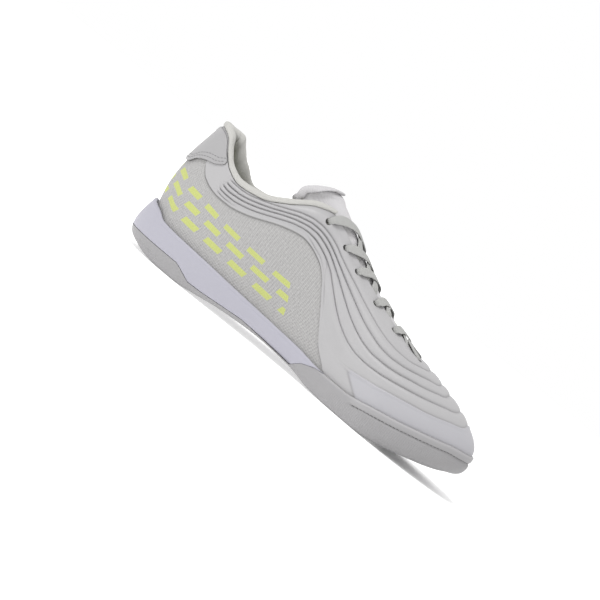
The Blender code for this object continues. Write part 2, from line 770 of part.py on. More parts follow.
def make_heel_tab(parts):
    """A strip of the wall's own form, laid on its outside round the back of the heel."""
    angles = [phi for phi in ring_angles() if along(phi) < TAB_END]
    medial = [phi for phi in angles if phi > math.pi]
    lateral = [phi for phi in angles if phi <= math.pi]
    columns = []
    for phi in medial + lateral:
        low = min(where_line_crosses(phi, TAB_EDGE), TAB_TOP - 0.05)
        shares = [low + (TAB_TOP - low) * i / TAB_STEPS for i in range(TAB_STEPS + 1)]
        columns.append([off_wall(phi, v, GAP) for v in shares])
    bm = bmesh.new()
    add_rings(bm, [list(ring) for ring in zip(*columns)], closed=False)
    tab = new_object("heel_tab", bm, parts)
    sheet = tab.modifiers.new("Sheet", "SOLIDIFY")
    sheet.thickness = TAB_THICKNESS
    sheet.offset = 1.0
    sheet.use_even_offset = True
    give_material(tab, (0.58, 0.57, 0.60), 0.5)


# Laces

LACE_STEPS = 8
LACE_LEAD = 0.75
LACE_STOP = 0.86


def over_throat(at, across, medial):
    """A point over the throat: across runs from one edge at 0 to the other at 1, and the
    eyelets lie at -1 and 2."""
    start_phi = 2 * math.pi - angle_of(at) if medial else angle_of(at)
    end_phi = 2 * math.pi - start_phi
    if across < 0:
        return wall_point(start_phi, edge_share(start_phi, -across * EYELET_EDGE))
    if across > 1:
        return wall_point(end_phi, edge_share(end_phi, (across - 1) * EYELET_EDGE))
    start = wall_point(start_phi, 1.0)
    end = wall_point(end_phi, 1.0)
    start_run = (start - wall_point(start_phi, 0.98)).normalized()
    end_run = (end - wall_point(end_phi, 0.98)).normalized()
    return bridge(start, start_run, end, end_run, across)


def lace_path(start_at, end_at, medial, stop, arch):
    """Points and normals of one strip, from its eyelet over the tongue to the other side."""
    step = 0.02
    lift = 2 * GAP + LACE_THICKNESS / 2
    width = (over_throat(start_at, 0.0, medial) - over_throat(start_at, 1.0, medial)).length
    spots = []
    for across in [-1.0] + [stop * i / LACE_STEPS for i in range(LACE_STEPS + 1)]:
        run = EYELET_EDGE * (1 + across) if across < 0 else EYELET_EDGE + width * across
        at = start_at + (end_at - start_at) * run / (2 * EYELET_EDGE + width)
        point = over_throat(at, across, medial)
        over = over_throat(at, across + step, medial) - over_throat(at, across - step, medial)
        ahead = over_throat(at + step / 2, across, medial) - over_throat(at - step / 2, across, medial)
        normal = over.cross(ahead).normalized()
        if normal.z < 0:
            normal = -normal
        dive = LACE_DIVE * blend(0.6, 0.9, across) if stop < 1.0 else 0.0
        rise = lift + arch * math.sin(math.pi * max(across, 0.0)) - dive
        spots.append((point + normal * rise, normal))
    return spots


def add_strip(bm, spots):
    """A flat strip of lace along its points, closed at both ends."""
    rings = []
    for i, (point, normal) in enumerate(spots):
        run = (spots[min(i + 1, len(spots) - 1)][0] - spots[max(i - 1, 0)][0]).normalized()
        across = run.cross(normal).normalized() * LACE_WIDTH / 2
        thick = across.cross(run).normalized() * LACE_THICKNESS / 2
        rings.append([point - across - thick, point + across - thick, point + across + thick,
                      point - across + thick])
    rows = add_rings(bm, rings)
    bm.faces.new(rows[0])
    bm.faces.new(tuple(reversed(rows[-1])))
    face_out(bm)


def make_strip(name, spots, collection):
    bm = bmesh.new()
    add_strip(bm, spots)
    return new_object(name, bm, collection)


def make_laces(parts, cutters):
    for i in range(len(EYELET_AT) - 1):
        start = EYELET_AT[i]
        lead = LACE_LEAD if i < len(EYELET_AT) - 2 else LACE_LEAD - 0.25
        end = start + (EYELET_AT[i + 1] - start) * lead
        over = lace_path(start, end, True, LACE_STOP, LACE_ARCH)
        under = lace_path(start, end, False, LACE_STOP, LACE_ARCH / 2)
        crossing = make_strip(f"lace_crossing_{i + 1}", over, parts)
        add_boolean(crossing, "UNION", make_strip(f"lace_under_{i + 1}", under, cutters))
        give_material(crossing, (0.62, 0.62, 0.62), 0.8)
    last = EYELET_AT[-1]
    spots = lace_path(last, last, True, 1.0, LACE_ARCH / 2)
    phi = angle_of(last)
    v = edge_share(phi, EYELET_EDGE)
    spots.append((off_wall(phi, v, 2 * GAP + LACE_THICKNESS / 2), wall_normal(phi, v)))
    bar = make_strip("lace_bar", spots, parts)
    give_material(bar, (0.62, 0.62, 0.62), 0.8)


def main():
    for obj in list(bpy.data.objects):
        bpy.data.objects.remove(obj, do_unlink=True)
    parts = bpy.data.collections.new("indoor_soccer_shoe")
    cutters = bpy.data.collections.new("cutters")
    bpy.context.scene.collection.children.link(parts)
    bpy.context.scene.collection.children.link(cutters)
    make_sole(parts, cutters)
    make_upper(parts, cutters)
    make_insole(parts)
    make_tongue(parts)
    make_collar_roll(parts)
    make_heel_tab(parts)
    make_laces(parts, cutters)


main()
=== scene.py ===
"""Indoor soccer shoe: the looks of its pieces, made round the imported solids, and its stage."""
import math
from collections import namedtuple

import bmesh
import bpy
import numpy as np
from mathutils import Matrix, Vector


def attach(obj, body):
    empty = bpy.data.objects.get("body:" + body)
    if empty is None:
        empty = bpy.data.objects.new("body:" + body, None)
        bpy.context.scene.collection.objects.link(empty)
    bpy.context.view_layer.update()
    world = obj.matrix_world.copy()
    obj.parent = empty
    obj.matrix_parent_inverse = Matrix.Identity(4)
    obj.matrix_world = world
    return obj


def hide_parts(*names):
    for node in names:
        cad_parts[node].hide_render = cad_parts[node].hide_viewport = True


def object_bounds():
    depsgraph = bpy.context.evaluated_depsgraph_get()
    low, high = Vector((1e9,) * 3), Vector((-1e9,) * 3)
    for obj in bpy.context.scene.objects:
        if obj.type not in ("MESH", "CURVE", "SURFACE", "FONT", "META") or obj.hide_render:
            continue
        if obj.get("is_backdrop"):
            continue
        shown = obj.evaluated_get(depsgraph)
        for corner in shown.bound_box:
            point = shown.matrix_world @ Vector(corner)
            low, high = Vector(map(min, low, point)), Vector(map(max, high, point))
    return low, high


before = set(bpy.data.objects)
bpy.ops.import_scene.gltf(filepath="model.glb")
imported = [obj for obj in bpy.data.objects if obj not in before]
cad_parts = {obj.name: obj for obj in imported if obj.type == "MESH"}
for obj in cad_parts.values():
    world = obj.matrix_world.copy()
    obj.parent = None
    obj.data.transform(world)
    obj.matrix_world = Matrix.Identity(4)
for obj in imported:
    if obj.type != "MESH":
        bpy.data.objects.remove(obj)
CAD_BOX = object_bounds()

bl_info = {
    "name": "Indoor Soccer Shoe",
    "version": (1, 0, 0),
    "blender": (4, 5, 0),
    "location": "View3D > Sidebar > Shoe",
    "description": "Models the upper, sole, tongue, collar and laces of an indoor soccer shoe",
    "category": "Add Mesh",
}

MM = 0.001
ROOT = "root"

# The shoe's sizes, as in the solids
SHOE_LENGTH = 297.0 * MM
BALL_WIDTH = 100.0 * MM
HEEL_WIDTH = 74.0 * MM
SOLE_HEIGHT = 38.7 * MM
COLLAR_HEIGHT = 106.5 * MM
TONGUE_HEIGHT = 120.8 * MM
OUTSOLE_THICKNESS = 4.0 * MM
RIM_THICKNESS = 1.8 * MM
LIP_HEIGHT = 2.6 * MM
GROOVE_DEPTH = 0.9 * MM
WALL = 2.0 * MM
MARGIN = 7.0 * MM
TURN_RADIUS = 3.0 * MM
GAP = 0.3 * MM
SIDE_WALL = 3.6 * MM
EYELET_EDGE = 7.5 * MM
EYELET_SPREAD = 4.0 * MM
EYELET_SPREAD_AT = (0.62, 0.84)

SoleRow = namedtuple("SoleRow", "at medial lateral bottom rise run bite inset bed")

# Widths are shares of the local width, heights of the sole's height, run and inset of the rim.
SOLE = [
    SoleRow(0.0000, 0.000, 0.000, 0.155, 0.360, 4.6, 0.940, 1.7, 0.556),
    SoleRow(0.0371, 0.300, 0.300, 0.083, 0.350, 4.4, 0.830, 1.6, 0.553),
    SoleRow(0.0721, 0.400, 0.400, 0.031, 0.336, 4.1, 0.722, 1.5, 0.550),
    SoleRow(0.1247, 0.470, 0.470, 0.000, 0.284, 3.5, 0.690, 1.3, 0.543),
    SoleRow(0.1847, 0.495, 0.505, 0.000, 0.233, 3.1, 0.666, 1.2, 0.532),
    SoleRow(0.2436, 0.493, 0.513, 0.052, 0.190, 3.0, 0.638, 1.1, 0.512),
    SoleRow(0.3212, 0.443, 0.508, 0.124, 0.168, 3.2, 0.592, 1.0, 0.470),
    SoleRow(0.4182, 0.373, 0.487, 0.158, 0.155, 3.4, 0.540, 0.9, 0.419),
    SoleRow(0.5152, 0.352, 0.474, 0.119, 0.155, 3.3, 0.491, 0.8, 0.359),
    SoleRow(0.5927, 0.395, 0.489, 0.020, 0.180, 3.0, 0.430, 0.6, 0.307),
    SoleRow(0.6606, 0.448, 0.504, 0.000, 0.180, 2.8, 0.432, 0.5, 0.295),
    SoleRow(0.7479, 0.500, 0.495, 0.000, 0.180, 2.8, 0.540, 0.5, 0.341),
    SoleRow(0.8061, 0.490, 0.455, 0.065, 0.194, 2.9, 0.622, 0.5, 0.393),
    SoleRow(0.8642, 0.455, 0.380, 0.160, 0.207, 3.0, 0.720, 0.5, 0.452),
    SoleRow(0.9127, 0.395, 0.290, 0.243, 0.225, 3.3, 0.802, 0.5, 0.525),
    SoleRow(0.9515, 0.325, 0.195, 0.325, 0.233, 3.7, 0.870, 0.5, 0.590),
    SoleRow(0.9806, 0.240, 0.095, 0.405, 0.233, 4.0, 0.892, 0.5, 0.635),
    SoleRow(1.0000, 0.070, -0.070, 0.455, 0.233, 4.2, 0.905, 0.5, 0.660),
]

WallRow = namedtuple("WallRow", "at top_x top_y top_z rise lean out drop")

# One row per column of the wall: where its top edge lies and how it leaves both ends.
WALL_ROWS = [
    WallRow(0.0000, 0.0286, 0.000, 1.000, 0.263, 0.066, 0.047, 0.263),
    WallRow(0.0371, 0.0458, 0.135, 0.992, 0.258, 0.063, 0.047, 0.258),
    WallRow(0.0721, 0.0673, 0.190, 0.962, 0.245, 0.056, 0.047, 0.244),
    WallRow(0.1247, 0.0943, 0.235, 0.872, 0.225, 0.047, 0.047, 0.225),
    WallRow(0.1847, 0.1246, 0.270, 0.800, 0.207, 0.038, 0.056, 0.188),
    WallRow(0.2436, 0.1650, 0.300, 0.763, 0.197, 0.033, 0.056, 0.169),
    WallRow(0.3212, 0.2256, 0.325, 0.786, 0.207, 0.028, 0.056, 0.188),
    WallRow(0.3988, 0.2862, 0.325, 0.873, 0.225, 0.023, 0.066, 0.225),
    WallRow(0.4667, 0.3434, 0.285, 0.978, 0.254, 0.019, 0.085, 0.263),
    WallRow(0.5152, 0.3839, 0.225, 1.009, 0.263, 0.019, 0.122, 0.244),
    WallRow(0.5636, 0.4243, 0.180, 0.972, 0.263, 0.019, 0.160, 0.207),
    WallRow(0.6315, 0.4882, 0.158, 0.878, 0.235, 0.019, 0.207, 0.188),
    WallRow(0.7091, 0.5623, 0.138, 0.782, 0.207, 0.023, 0.235, 0.150),
    WallRow(0.7867, 0.6297, 0.122, 0.711, 0.188, 0.028, 0.254, 0.122),
    WallRow(0.8545, 0.6835, 0.105, 0.659, 0.160, 0.023, 0.272, 0.103),
    WallRow(0.9127, 0.7171, 0.085, 0.632, 0.161, 0.007, 0.194, 0.050),
    WallRow(0.9612, 0.7357, 0.050, 0.618, 0.167, -0.011, 0.149, 0.015),
    WallRow(1.0000, 0.7441, 0.000, 0.613, 0.163, -0.020, 0.149, 0.013),
]

Point = namedtuple("Point", "x z")
END_RISE = Point(0.012, 0.20)
WIDENING = (0.224, 0.709)
TOE_TURN = (0.515, 0.951)
ANGLE_STEP = 0.01
SHARE_STEP = 0.01


def side_line(*pairs):
    """A line drawn on the side of the wall: x by the length, z by the collar height."""
    return [Point(*pair) for pair in pairs]


# The seam of the mesh quarter, the creases between the ribs from the lowest up, and the heel
# tab's lower edge.
SEAM = side_line((0.020, 0.700), (0.039, 0.757), (0.060, 0.763), (0.069, 0.725), (0.086, 0.673),
            (0.115, 0.636), (0.137, 0.623), (0.158, 0.620), (0.176, 0.621), (0.193, 0.627),
            (0.228, 0.652), (0.262, 0.688), (0.296, 0.726), (0.330, 0.754), (0.347, 0.764),
            (0.363, 0.767), (0.380, 0.760), (0.397, 0.746), (0.414, 0.725), (0.431, 0.699),
            (0.448, 0.658), (0.465, 0.604), (0.482, 0.540), (0.499, 0.469), (0.516, 0.401),
            (0.533, 0.332), (0.550, 0.272), (0.568, 0.228), (0.585, 0.191), (0.604, 0.148))
CREASES = [
    side_line((0.000, 0.800), (0.066, 0.785), (0.109, 0.690), (0.137, 0.642), (0.158, 0.635), (0.176, 0.636),
         (0.193, 0.644), (0.228, 0.668), (0.262, 0.704), (0.296, 0.742), (0.330, 0.771), (0.363, 0.785),
         (0.380, 0.777), (0.397, 0.759), (0.414, 0.741), (0.431, 0.716), (0.448, 0.677), (0.465, 0.629),
         (0.482, 0.568), (0.499, 0.500), (0.533, 0.382), (0.568, 0.313), (0.603, 0.285), (0.637, 0.288),
         (0.671, 0.300), (0.705, 0.312), (0.739, 0.328), (0.772, 0.345), (0.805, 0.362), (0.838, 0.377),
         (0.871, 0.398), (0.903, 0.423), (0.936, 0.450)),
    side_line((0.000, 0.820), (0.066, 0.810), (0.109, 0.720), (0.137, 0.666), (0.158, 0.660), (0.176, 0.660),
         (0.193, 0.667), (0.228, 0.690), (0.262, 0.725), (0.296, 0.763), (0.330, 0.796), (0.363, 0.810),
         (0.380, 0.805), (0.397, 0.793), (0.430, 0.754), (0.465, 0.694), (0.482, 0.653), (0.499, 0.611),
         (0.534, 0.527), (0.569, 0.460), (0.603, 0.414), (0.637, 0.390), (0.671, 0.384), (0.705, 0.389),
         (0.738, 0.401), (0.771, 0.416), (0.804, 0.432), (0.837, 0.451), (0.870, 0.473), (0.902, 0.498)),
    side_line((0.000, 0.840), (0.066, 0.830), (0.109, 0.745), (0.136, 0.698), (0.158, 0.688), (0.175, 0.691),
         (0.193, 0.697), (0.228, 0.721), (0.262, 0.756), (0.296, 0.795), (0.330, 0.826), (0.363, 0.841),
         (0.380, 0.840), (0.396, 0.830), (0.430, 0.793), (0.464, 0.739), (0.499, 0.677), (0.534, 0.612),
         (0.568, 0.553), (0.603, 0.504), (0.637, 0.471), (0.671, 0.456), (0.704, 0.455), (0.737, 0.462),
         (0.770, 0.477), (0.803, 0.491), (0.836, 0.512), (0.858, 0.530)),
    side_line((0.000, 0.860), (0.066, 0.850), (0.109, 0.770), (0.136, 0.728), (0.157, 0.719), (0.175, 0.719),
         (0.193, 0.725), (0.227, 0.749), (0.262, 0.782), (0.296, 0.821), (0.329, 0.854), (0.363, 0.871),
         (0.379, 0.869), (0.396, 0.860), (0.429, 0.825), (0.464, 0.775), (0.498, 0.724), (0.533, 0.674),
         (0.567, 0.626), (0.602, 0.581), (0.636, 0.548), (0.670, 0.522), (0.703, 0.512), (0.736, 0.516),
         (0.769, 0.530), (0.802, 0.547), (0.828, 0.558)),
    side_line((0.000, 0.880), (0.066, 0.870), (0.109, 0.795), (0.136, 0.757), (0.157, 0.751), (0.175, 0.750),
         (0.192, 0.754), (0.227, 0.778), (0.261, 0.810), (0.296, 0.849), (0.329, 0.884), (0.362, 0.901),
         (0.379, 0.900), (0.395, 0.892), (0.429, 0.861), (0.463, 0.813), (0.497, 0.769), (0.532, 0.728),
         (0.566, 0.686), (0.600, 0.648), (0.634, 0.613), (0.668, 0.586), (0.702, 0.570), (0.735, 0.565),
         (0.767, 0.577), (0.787, 0.589)),
]
TAB_EDGE = side_line((0.000, 0.665), (0.021, 0.672), (0.039, 0.722), (0.060, 0.752), (0.083, 0.768),
                (0.108, 0.812), (0.129, 0.835))
RIB_START = 0.128
RIB_FULL = 0.135
RIB_STAGGER = 0.006
SEAM_END = 0.602

LowRib = namedtuple("LowRib", "x strength")

# The lowest crease fades where the skin beside the quarter is plain.
LOW_RIB = [
    LowRib(0.130, 0.70),
    LowRib(0.165, 0.70),
    LowRib(0.200, 0.00),
    LowRib(0.365, 0.00),
    LowRib(0.385, 0.50),
    LowRib(0.420, 0.40),
    LowRib(0.450, 0.00),
    LowRib(0.600, 0.00),
    LowRib(0.660, 0.25),
    LowRib(0.740, 0.40),
    LowRib(0.850, 0.60),
]

SplitRow = namedtuple("SplitRow", "at height")

# Where rubber gives way to foam on the side of the sole, by the length and the sole's height.
SPLIT = [
    SplitRow(0.000, 0.297),
    SplitRow(0.165, 0.297),
    SplitRow(0.179, 0.261),
    SplitRow(0.215, 0.150),
    SplitRow(0.253, 0.160),
    SplitRow(0.370, 0.232),
    SplitRow(0.486, 0.172),
    SplitRow(0.522, 0.150),
    SplitRow(0.545, 0.305),
    SplitRow(0.575, 0.395),
    SplitRow(0.602, 0.425),
    SplitRow(0.612, 1.400),
    SplitRow(1.000, 1.400),
]

TongueRow = namedtuple("TongueRow", "x z half back down")
TONGUE_TOP = [
    TongueRow(0.3870, 0.956, 0.205, 0.1110, 0.198),
    TongueRow(0.3700, 0.985, 0.205, 0.0930, 0.172),
    TongueRow(0.3500, 1.000, 0.195, 0.0680, 0.127),
]
TONGUE_AT = [0.544, 0.583, 0.631, 0.690, 0.748, 0.806, 0.864, 0.913, 0.942]
EYELET_AT = [0.512, 0.594, 0.651, 0.727, 0.800, 0.915]

LipPoint = namedtuple("LipPoint", "inset dip below")

# The groove and the lip over it: insets are shares of the rim's, dips of the groove's depth and
# heights below the bite line of the lip's height.
LIP = [
    LipPoint(0.62, 0.35, 1.18),
    LipPoint(0.66, 0.90, 1.12),
    LipPoint(0.70, 1.00, 1.06),
    LipPoint(0.70, 0.90, 1.00),
    LipPoint(0.66, 0.20, 0.96),
    LipPoint(0.62, -0.10, 0.90),
    LipPoint(0.64, -0.15, 0.60),
]

RimPoint = namedtuple("RimPoint", "inset below")

# The rounded edge of the rim, from its side to the bite line.
RIM_EDGE = [
    RimPoint(-0.25 * MM, 1.20 * MM),
    RimPoint(-0.15 * MM, 0.75 * MM),
    RimPoint(0.10 * MM, 0.35 * MM),
    RimPoint(0.45 * MM, 0.10 * MM),
    RimPoint(0.90 * MM, 0.00 * MM),
]


# Curves and the shoe's own surfaces

def blend(low, high, value):
    """0 below low, 1 above high, with a soft passage between them."""
    share = np.clip((np.asarray(value, float) - low) / (high - low), 0.0, 1.0)
    return share * share * (3.0 - 2.0 * share)


def smooth(keys, values, at):
    """A curve through the values that keeps level where they turn."""
    keys = np.asarray(keys, float)
    values = np.asarray(values, float)
    steps = np.diff(keys)
    slopes = np.diff(values) / steps
    before, after = slopes[:-1], slopes[1:]
    same = before * after > 0
    heavy = 2 * steps[1:] + steps[:-1]
    light = steps[1:] + 2 * steps[:-1]
    mean = (heavy + light) / (heavy / np.where(same, before, 1.0) + light / np.where(same, after, 1.0))
    tangents = np.concatenate(([slopes[0]], np.where(same, mean, 0.0), [slopes[-1]]))
    at = np.clip(at, keys[0], keys[-1])
    i = np.clip(np.searchsorted(keys, at, side="right") - 1, 0, len(steps) - 1)
    step = steps[i]
    s = (at - keys[i]) / step
    start = (1 + 2 * s) * (1 - s) ** 2 * values[i]
    end = s * s * (3 - 2 * s) * values[i + 1]
    return start + end + s * (1 - s) ** 2 * step * tangents[i] + s * s * (s - 1) * step * tangents[i + 1]


def angle_of(at):
    """The ring's angle at a share of the length, on the lateral side."""
    return math.acos(1.0 - 2.0 * at)


def table(rows, column, phi):
    """A table's column at angles of the ring, where 0 is the heel and pi the toe."""
    phi = np.mod(phi, 2 * math.pi)
    angle = np.where(phi <= math.pi, phi, 2 * math.pi - phi)
    return smooth([angle_of(row.at) for row in rows], [getattr(row, column) for row in rows], angle)


def along(phi):
    """The share of the length at angles of the ring."""
    return (1.0 - np.cos(phi)) / 2.0


def unit(vectors):
    """Vectors of length one."""
    return vectors / np.linalg.norm(vectors, axis=-1, keepdims=True)


def outline(phi):
    """The sole's widest outline at angles of the ring, as x and y."""
    at = along(phi)
    width = HEEL_WIDTH + (BALL_WIDTH - HEEL_WIDTH) * blend(*WIDENING, at)
    lateral = table(SOLE, "lateral", phi) * width
    medial = -table(SOLE, "medial", phi) * width
    return np.stack([(at - 0.5) * SHOE_LENGTH, np.where(np.sin(phi) >= 0, lateral, medial)], axis=-1)


def run_along(path):
    """How far along a path each of its points lies."""
    steps = np.linalg.norm(np.diff(path, axis=0), axis=1)
    return np.concatenate(([0.0], np.cumsum(steps)))


def outward(phi):
    """The outline's direction away from the shoe."""
    run = outline(phi + ANGLE_STEP) - outline(phi - ANGLE_STEP)
    return unit(np.stack([-run[..., 1], run[..., 0]], axis=-1))


def centre_shift():
    """How far the outline moves across, so that its middle is at y = 0."""
    ys = outline(np.linspace(0, 2 * math.pi, 361))[:, 1]
    return -(ys.max() + ys.min()) / 2


Y_SHIFT = centre_shift()


def sole_point(phi, inset, height):
    """Points at a height, a distance inside the outline."""
    flat = outline(phi) - outward(phi) * np.asarray(inset)[..., None]
    height = np.broadcast_to(height, flat[..., 0].shape)
    return np.stack([flat[..., 0], flat[..., 1] + Y_SHIFT, height], axis=-1)


def sole_height(column, phi):
    """A height from the sole's table."""
    return table(SOLE, column, phi) * SOLE_HEIGHT


def rim_inset(phi):
    """How far the rim's side leans in from the outline."""
    return table(SOLE, "inset", phi) * RIM_THICKNESS


def split_height(phi):
    """Where rubber gives way to foam."""
    return np.interp(along(phi), [row.at for row in SPLIT], [row.height for row in SPLIT]) * SOLE_HEIGHT


def even_angles(count, start=0.0, end=2 * math.pi, closed=True):
    """Angles that lie evenly along the outline between two angles."""
    fine = np.linspace(start, end, 4001)
    run = run_along(outline(fine))
    return np.interp(np.linspace(0, run[-1], count, endpoint=not closed), run, fine)


def run_round(phi):
    """How far round the outline each column lies, and how long the outline is."""
    start = outline(phi)
    run = run_along(np.concatenate([start, start[:1]]))
    return run[:-1], run[-1]


def wall_base(phi):
    """How far inside the outline the wall stands, clear of the rim."""
    return rim_inset(phi) + RIM_THICKNESS + GAP


def wall_curve(phi):
    """The four control points of each column of the wall, bite line to top edge."""
    phi = np.mod(np.asarray(phi, float), 2 * math.pi)
    normal = outward(phi)
    normal = np.concatenate([normal, np.zeros_like(normal[..., :1])], axis=-1)
    foot = sole_point(phi, wall_base(phi), sole_height("bite", phi) + GAP)
    side = np.where(np.sin(phi) >= 0, 1.0, -1.0)
    top = np.stack([
        (table(WALL_ROWS, "top_x", phi) - 0.5) * SHOE_LENGTH,
        side * table(WALL_ROWS, "top_y", phi) * BALL_WIDTH + Y_SHIFT,
        table(WALL_ROWS, "top_z", phi) * COLLAR_HEIGHT,
    ], axis=-1)
    spread = foot - top
    spread[..., 2] = 0.0
    turn = blend(*TOE_TURN, along(phi))[..., None]
    away = unit(unit(spread) * turn + normal * (1.0 - turn))
    up = np.array([0.0, 0.0, COLLAR_HEIGHT])
    first = foot + normal * table(WALL_ROWS, "lean", phi)[..., None] * COLLAR_HEIGHT
    first = first + up * table(WALL_ROWS, "rise", phi)[..., None]
    second = top + away * table(WALL_ROWS, "out", phi)[..., None] * COLLAR_HEIGHT
    second = second - up * table(WALL_ROWS, "drop", phi)[..., None]
    return foot, first, second, top


def on_curve(curve, v):
    """The point at share v of a curve with four control points."""
    a, b, c, d = curve
    w = 1.0 - v
    return a * w ** 3 + b * 3 * v * w * w + c * 3 * v * v * w + d * v ** 3


def wall_points(phi, v):
    """Points of the wall for columns phi and, for each column, shares v up it."""
    curve = [end[:, None, :] for end in wall_curve(phi)]
    return on_curve(curve, v[..., None])


def wall_normals(phi, v):
    """The wall's outward directions at the same places as wall_points."""
    around = wall_points(phi + ANGLE_STEP, v) - wall_points(phi - ANGLE_STEP, v)
    above, below = np.minimum(v + SHARE_STEP, 1.0), np.maximum(v - SHARE_STEP, 0.0)
    up = wall_points(phi, above) - wall_points(phi, below)
    return unit(np.cross(up, around))


def off_wall(phi, v, distance):
    """Points off the wall; phi is one angle per column, v and distance one value per point."""
    phi = np.atleast_1d(np.asarray(phi, float))
    v = np.asarray(v, float).reshape(len(phi), -1)
    distance = np.broadcast_to(np.asarray(distance, float), v.shape)
    return wall_points(phi, v) + wall_normals(phi, v) * distance[..., None]


def line_heights(points, x):
    """The heights of a side line at places x; past its end it climbs steeply."""
    last = points[-1]
    keys = [point.x for point in points] + [last.x + END_RISE.x]
    values = [point.z for point in points] + [last.z + END_RISE.z]
    return smooth(keys, values, x / SHOE_LENGTH + 0.5) * COLLAR_HEIGHT


CROSSING_STEPS = 120


def where_line_crosses(phi, points):
    """How far up each column a side line crosses it."""
    v = np.broadcast_to(np.linspace(0, 1, CROSSING_STEPS + 1), (len(phi), CROSSING_STEPS + 1))
    grid = wall_points(phi, v)
    over = grid[..., 2] - line_heights(points, grid[..., 0])
    above = over >= 0
    index = np.where(above.any(axis=1), above.argmax(axis=1), CROSSING_STEPS)
    low = np.maximum(index - 1, 0)
    rows = np.arange(len(phi))
    before, after = over[rows, low], over[rows, index]
    share = np.where(index > low, before / np.where(before == after, 1.0, before - after), 0.0)
    return (low + np.clip(share, 0, 1)) / CROSSING_STEPS


def edge_shares(phi, distance):
    """How far up each column a place lies that is a distance below its top edge."""
    phi = np.atleast_1d(np.asarray(phi, float))
    v = np.broadcast_to(np.linspace(1, 0.3, 281), (len(phi), 281))
    grid = wall_points(phi, v)
    away = np.linalg.norm(grid - grid[:, :1], axis=-1)
    distance = np.broadcast_to(distance, phi.shape)
    return np.array([np.interp(d, row, v[0]) for d, row in zip(distance, away)])


# Mesh building

def deselect_all():
    """Leaves nothing selected."""
    bpy.ops.object.select_all(action="DESELECT")


def make_active(obj):
    """Selects one object alone."""
    deselect_all()
    obj.select_set(True)
    bpy.context.view_layer.objects.active = obj


def new_mesh(name, points, faces, uvs=None, marks=None):
    """A piece from points and faces, with a metric UV per point and named marks per point."""
    mesh = bpy.data.meshes.new(name)
    mesh.from_pydata(points.reshape(-1, 3).tolist(), [], faces)
    obj = bpy.data.objects.new(name, mesh)
    bpy.context.scene.collection.objects.link(obj)
    if uvs is not None:
        layer = mesh.uv_layers.new(name="surface")
        corners = np.empty(len(mesh.loops), np.int32)
        mesh.loops.foreach_get("vertex_index", corners)
        layer.data.foreach_set("uv", uvs.reshape(-1, 2)[corners].astype(np.float32).ravel())
    for mark, values in (marks or {}).items():
        attribute = mesh.attributes.new(mark, "FLOAT", "POINT")
        attribute.data.foreach_set("value", np.asarray(values, np.float32).ravel())
    mesh.polygons.foreach_set("use_smooth", [True] * len(mesh.polygons))
    mesh.update()
    return obj


def grid_faces(columns, rows, around=True, tube=False):
    """Quads over a grid of columns by rows, joined round the columns or through the rows."""
    faces = []
    for i in range(columns if around else columns - 1):
        j = (i + 1) % columns
        for k in range(rows if tube else rows - 1):
            m = (k + 1) % rows
            faces.append((i * rows + k, i * rows + m, j * rows + m, j * rows + k))
    return faces


def seal_outward(obj):
    """Merges doubles and turns every face of a closed piece outward."""
    bm = bmesh.new()
    bm.from_mesh(obj.data)
    bmesh.ops.remove_doubles(bm, verts=bm.verts, dist=1e-6)
    bmesh.ops.recalc_face_normals(bm, faces=bm.faces)
    if bm.calc_volume(signed=True) < 0:
        bmesh.ops.reverse_faces(bm, faces=bm.faces)
    bm.to_mesh(obj.data)
    bm.free()


def apply_modifiers(obj):
    """Makes an object's modifiers part of its mesh."""
    make_active(obj)
    for modifier in list(obj.modifiers):
        bpy.ops.object.modifier_apply(modifier=modifier.name)


def place(obj, material, slot, replaced=(), stays=ROOT):
    """Gives a finished piece its material and its body; the slot is not used."""
    if material is not None:
        obj.data.materials.clear()
        obj.data.materials.append(material)
    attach(obj, stays)
    if replaced:
        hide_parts(*replaced)
    return obj


# Materials

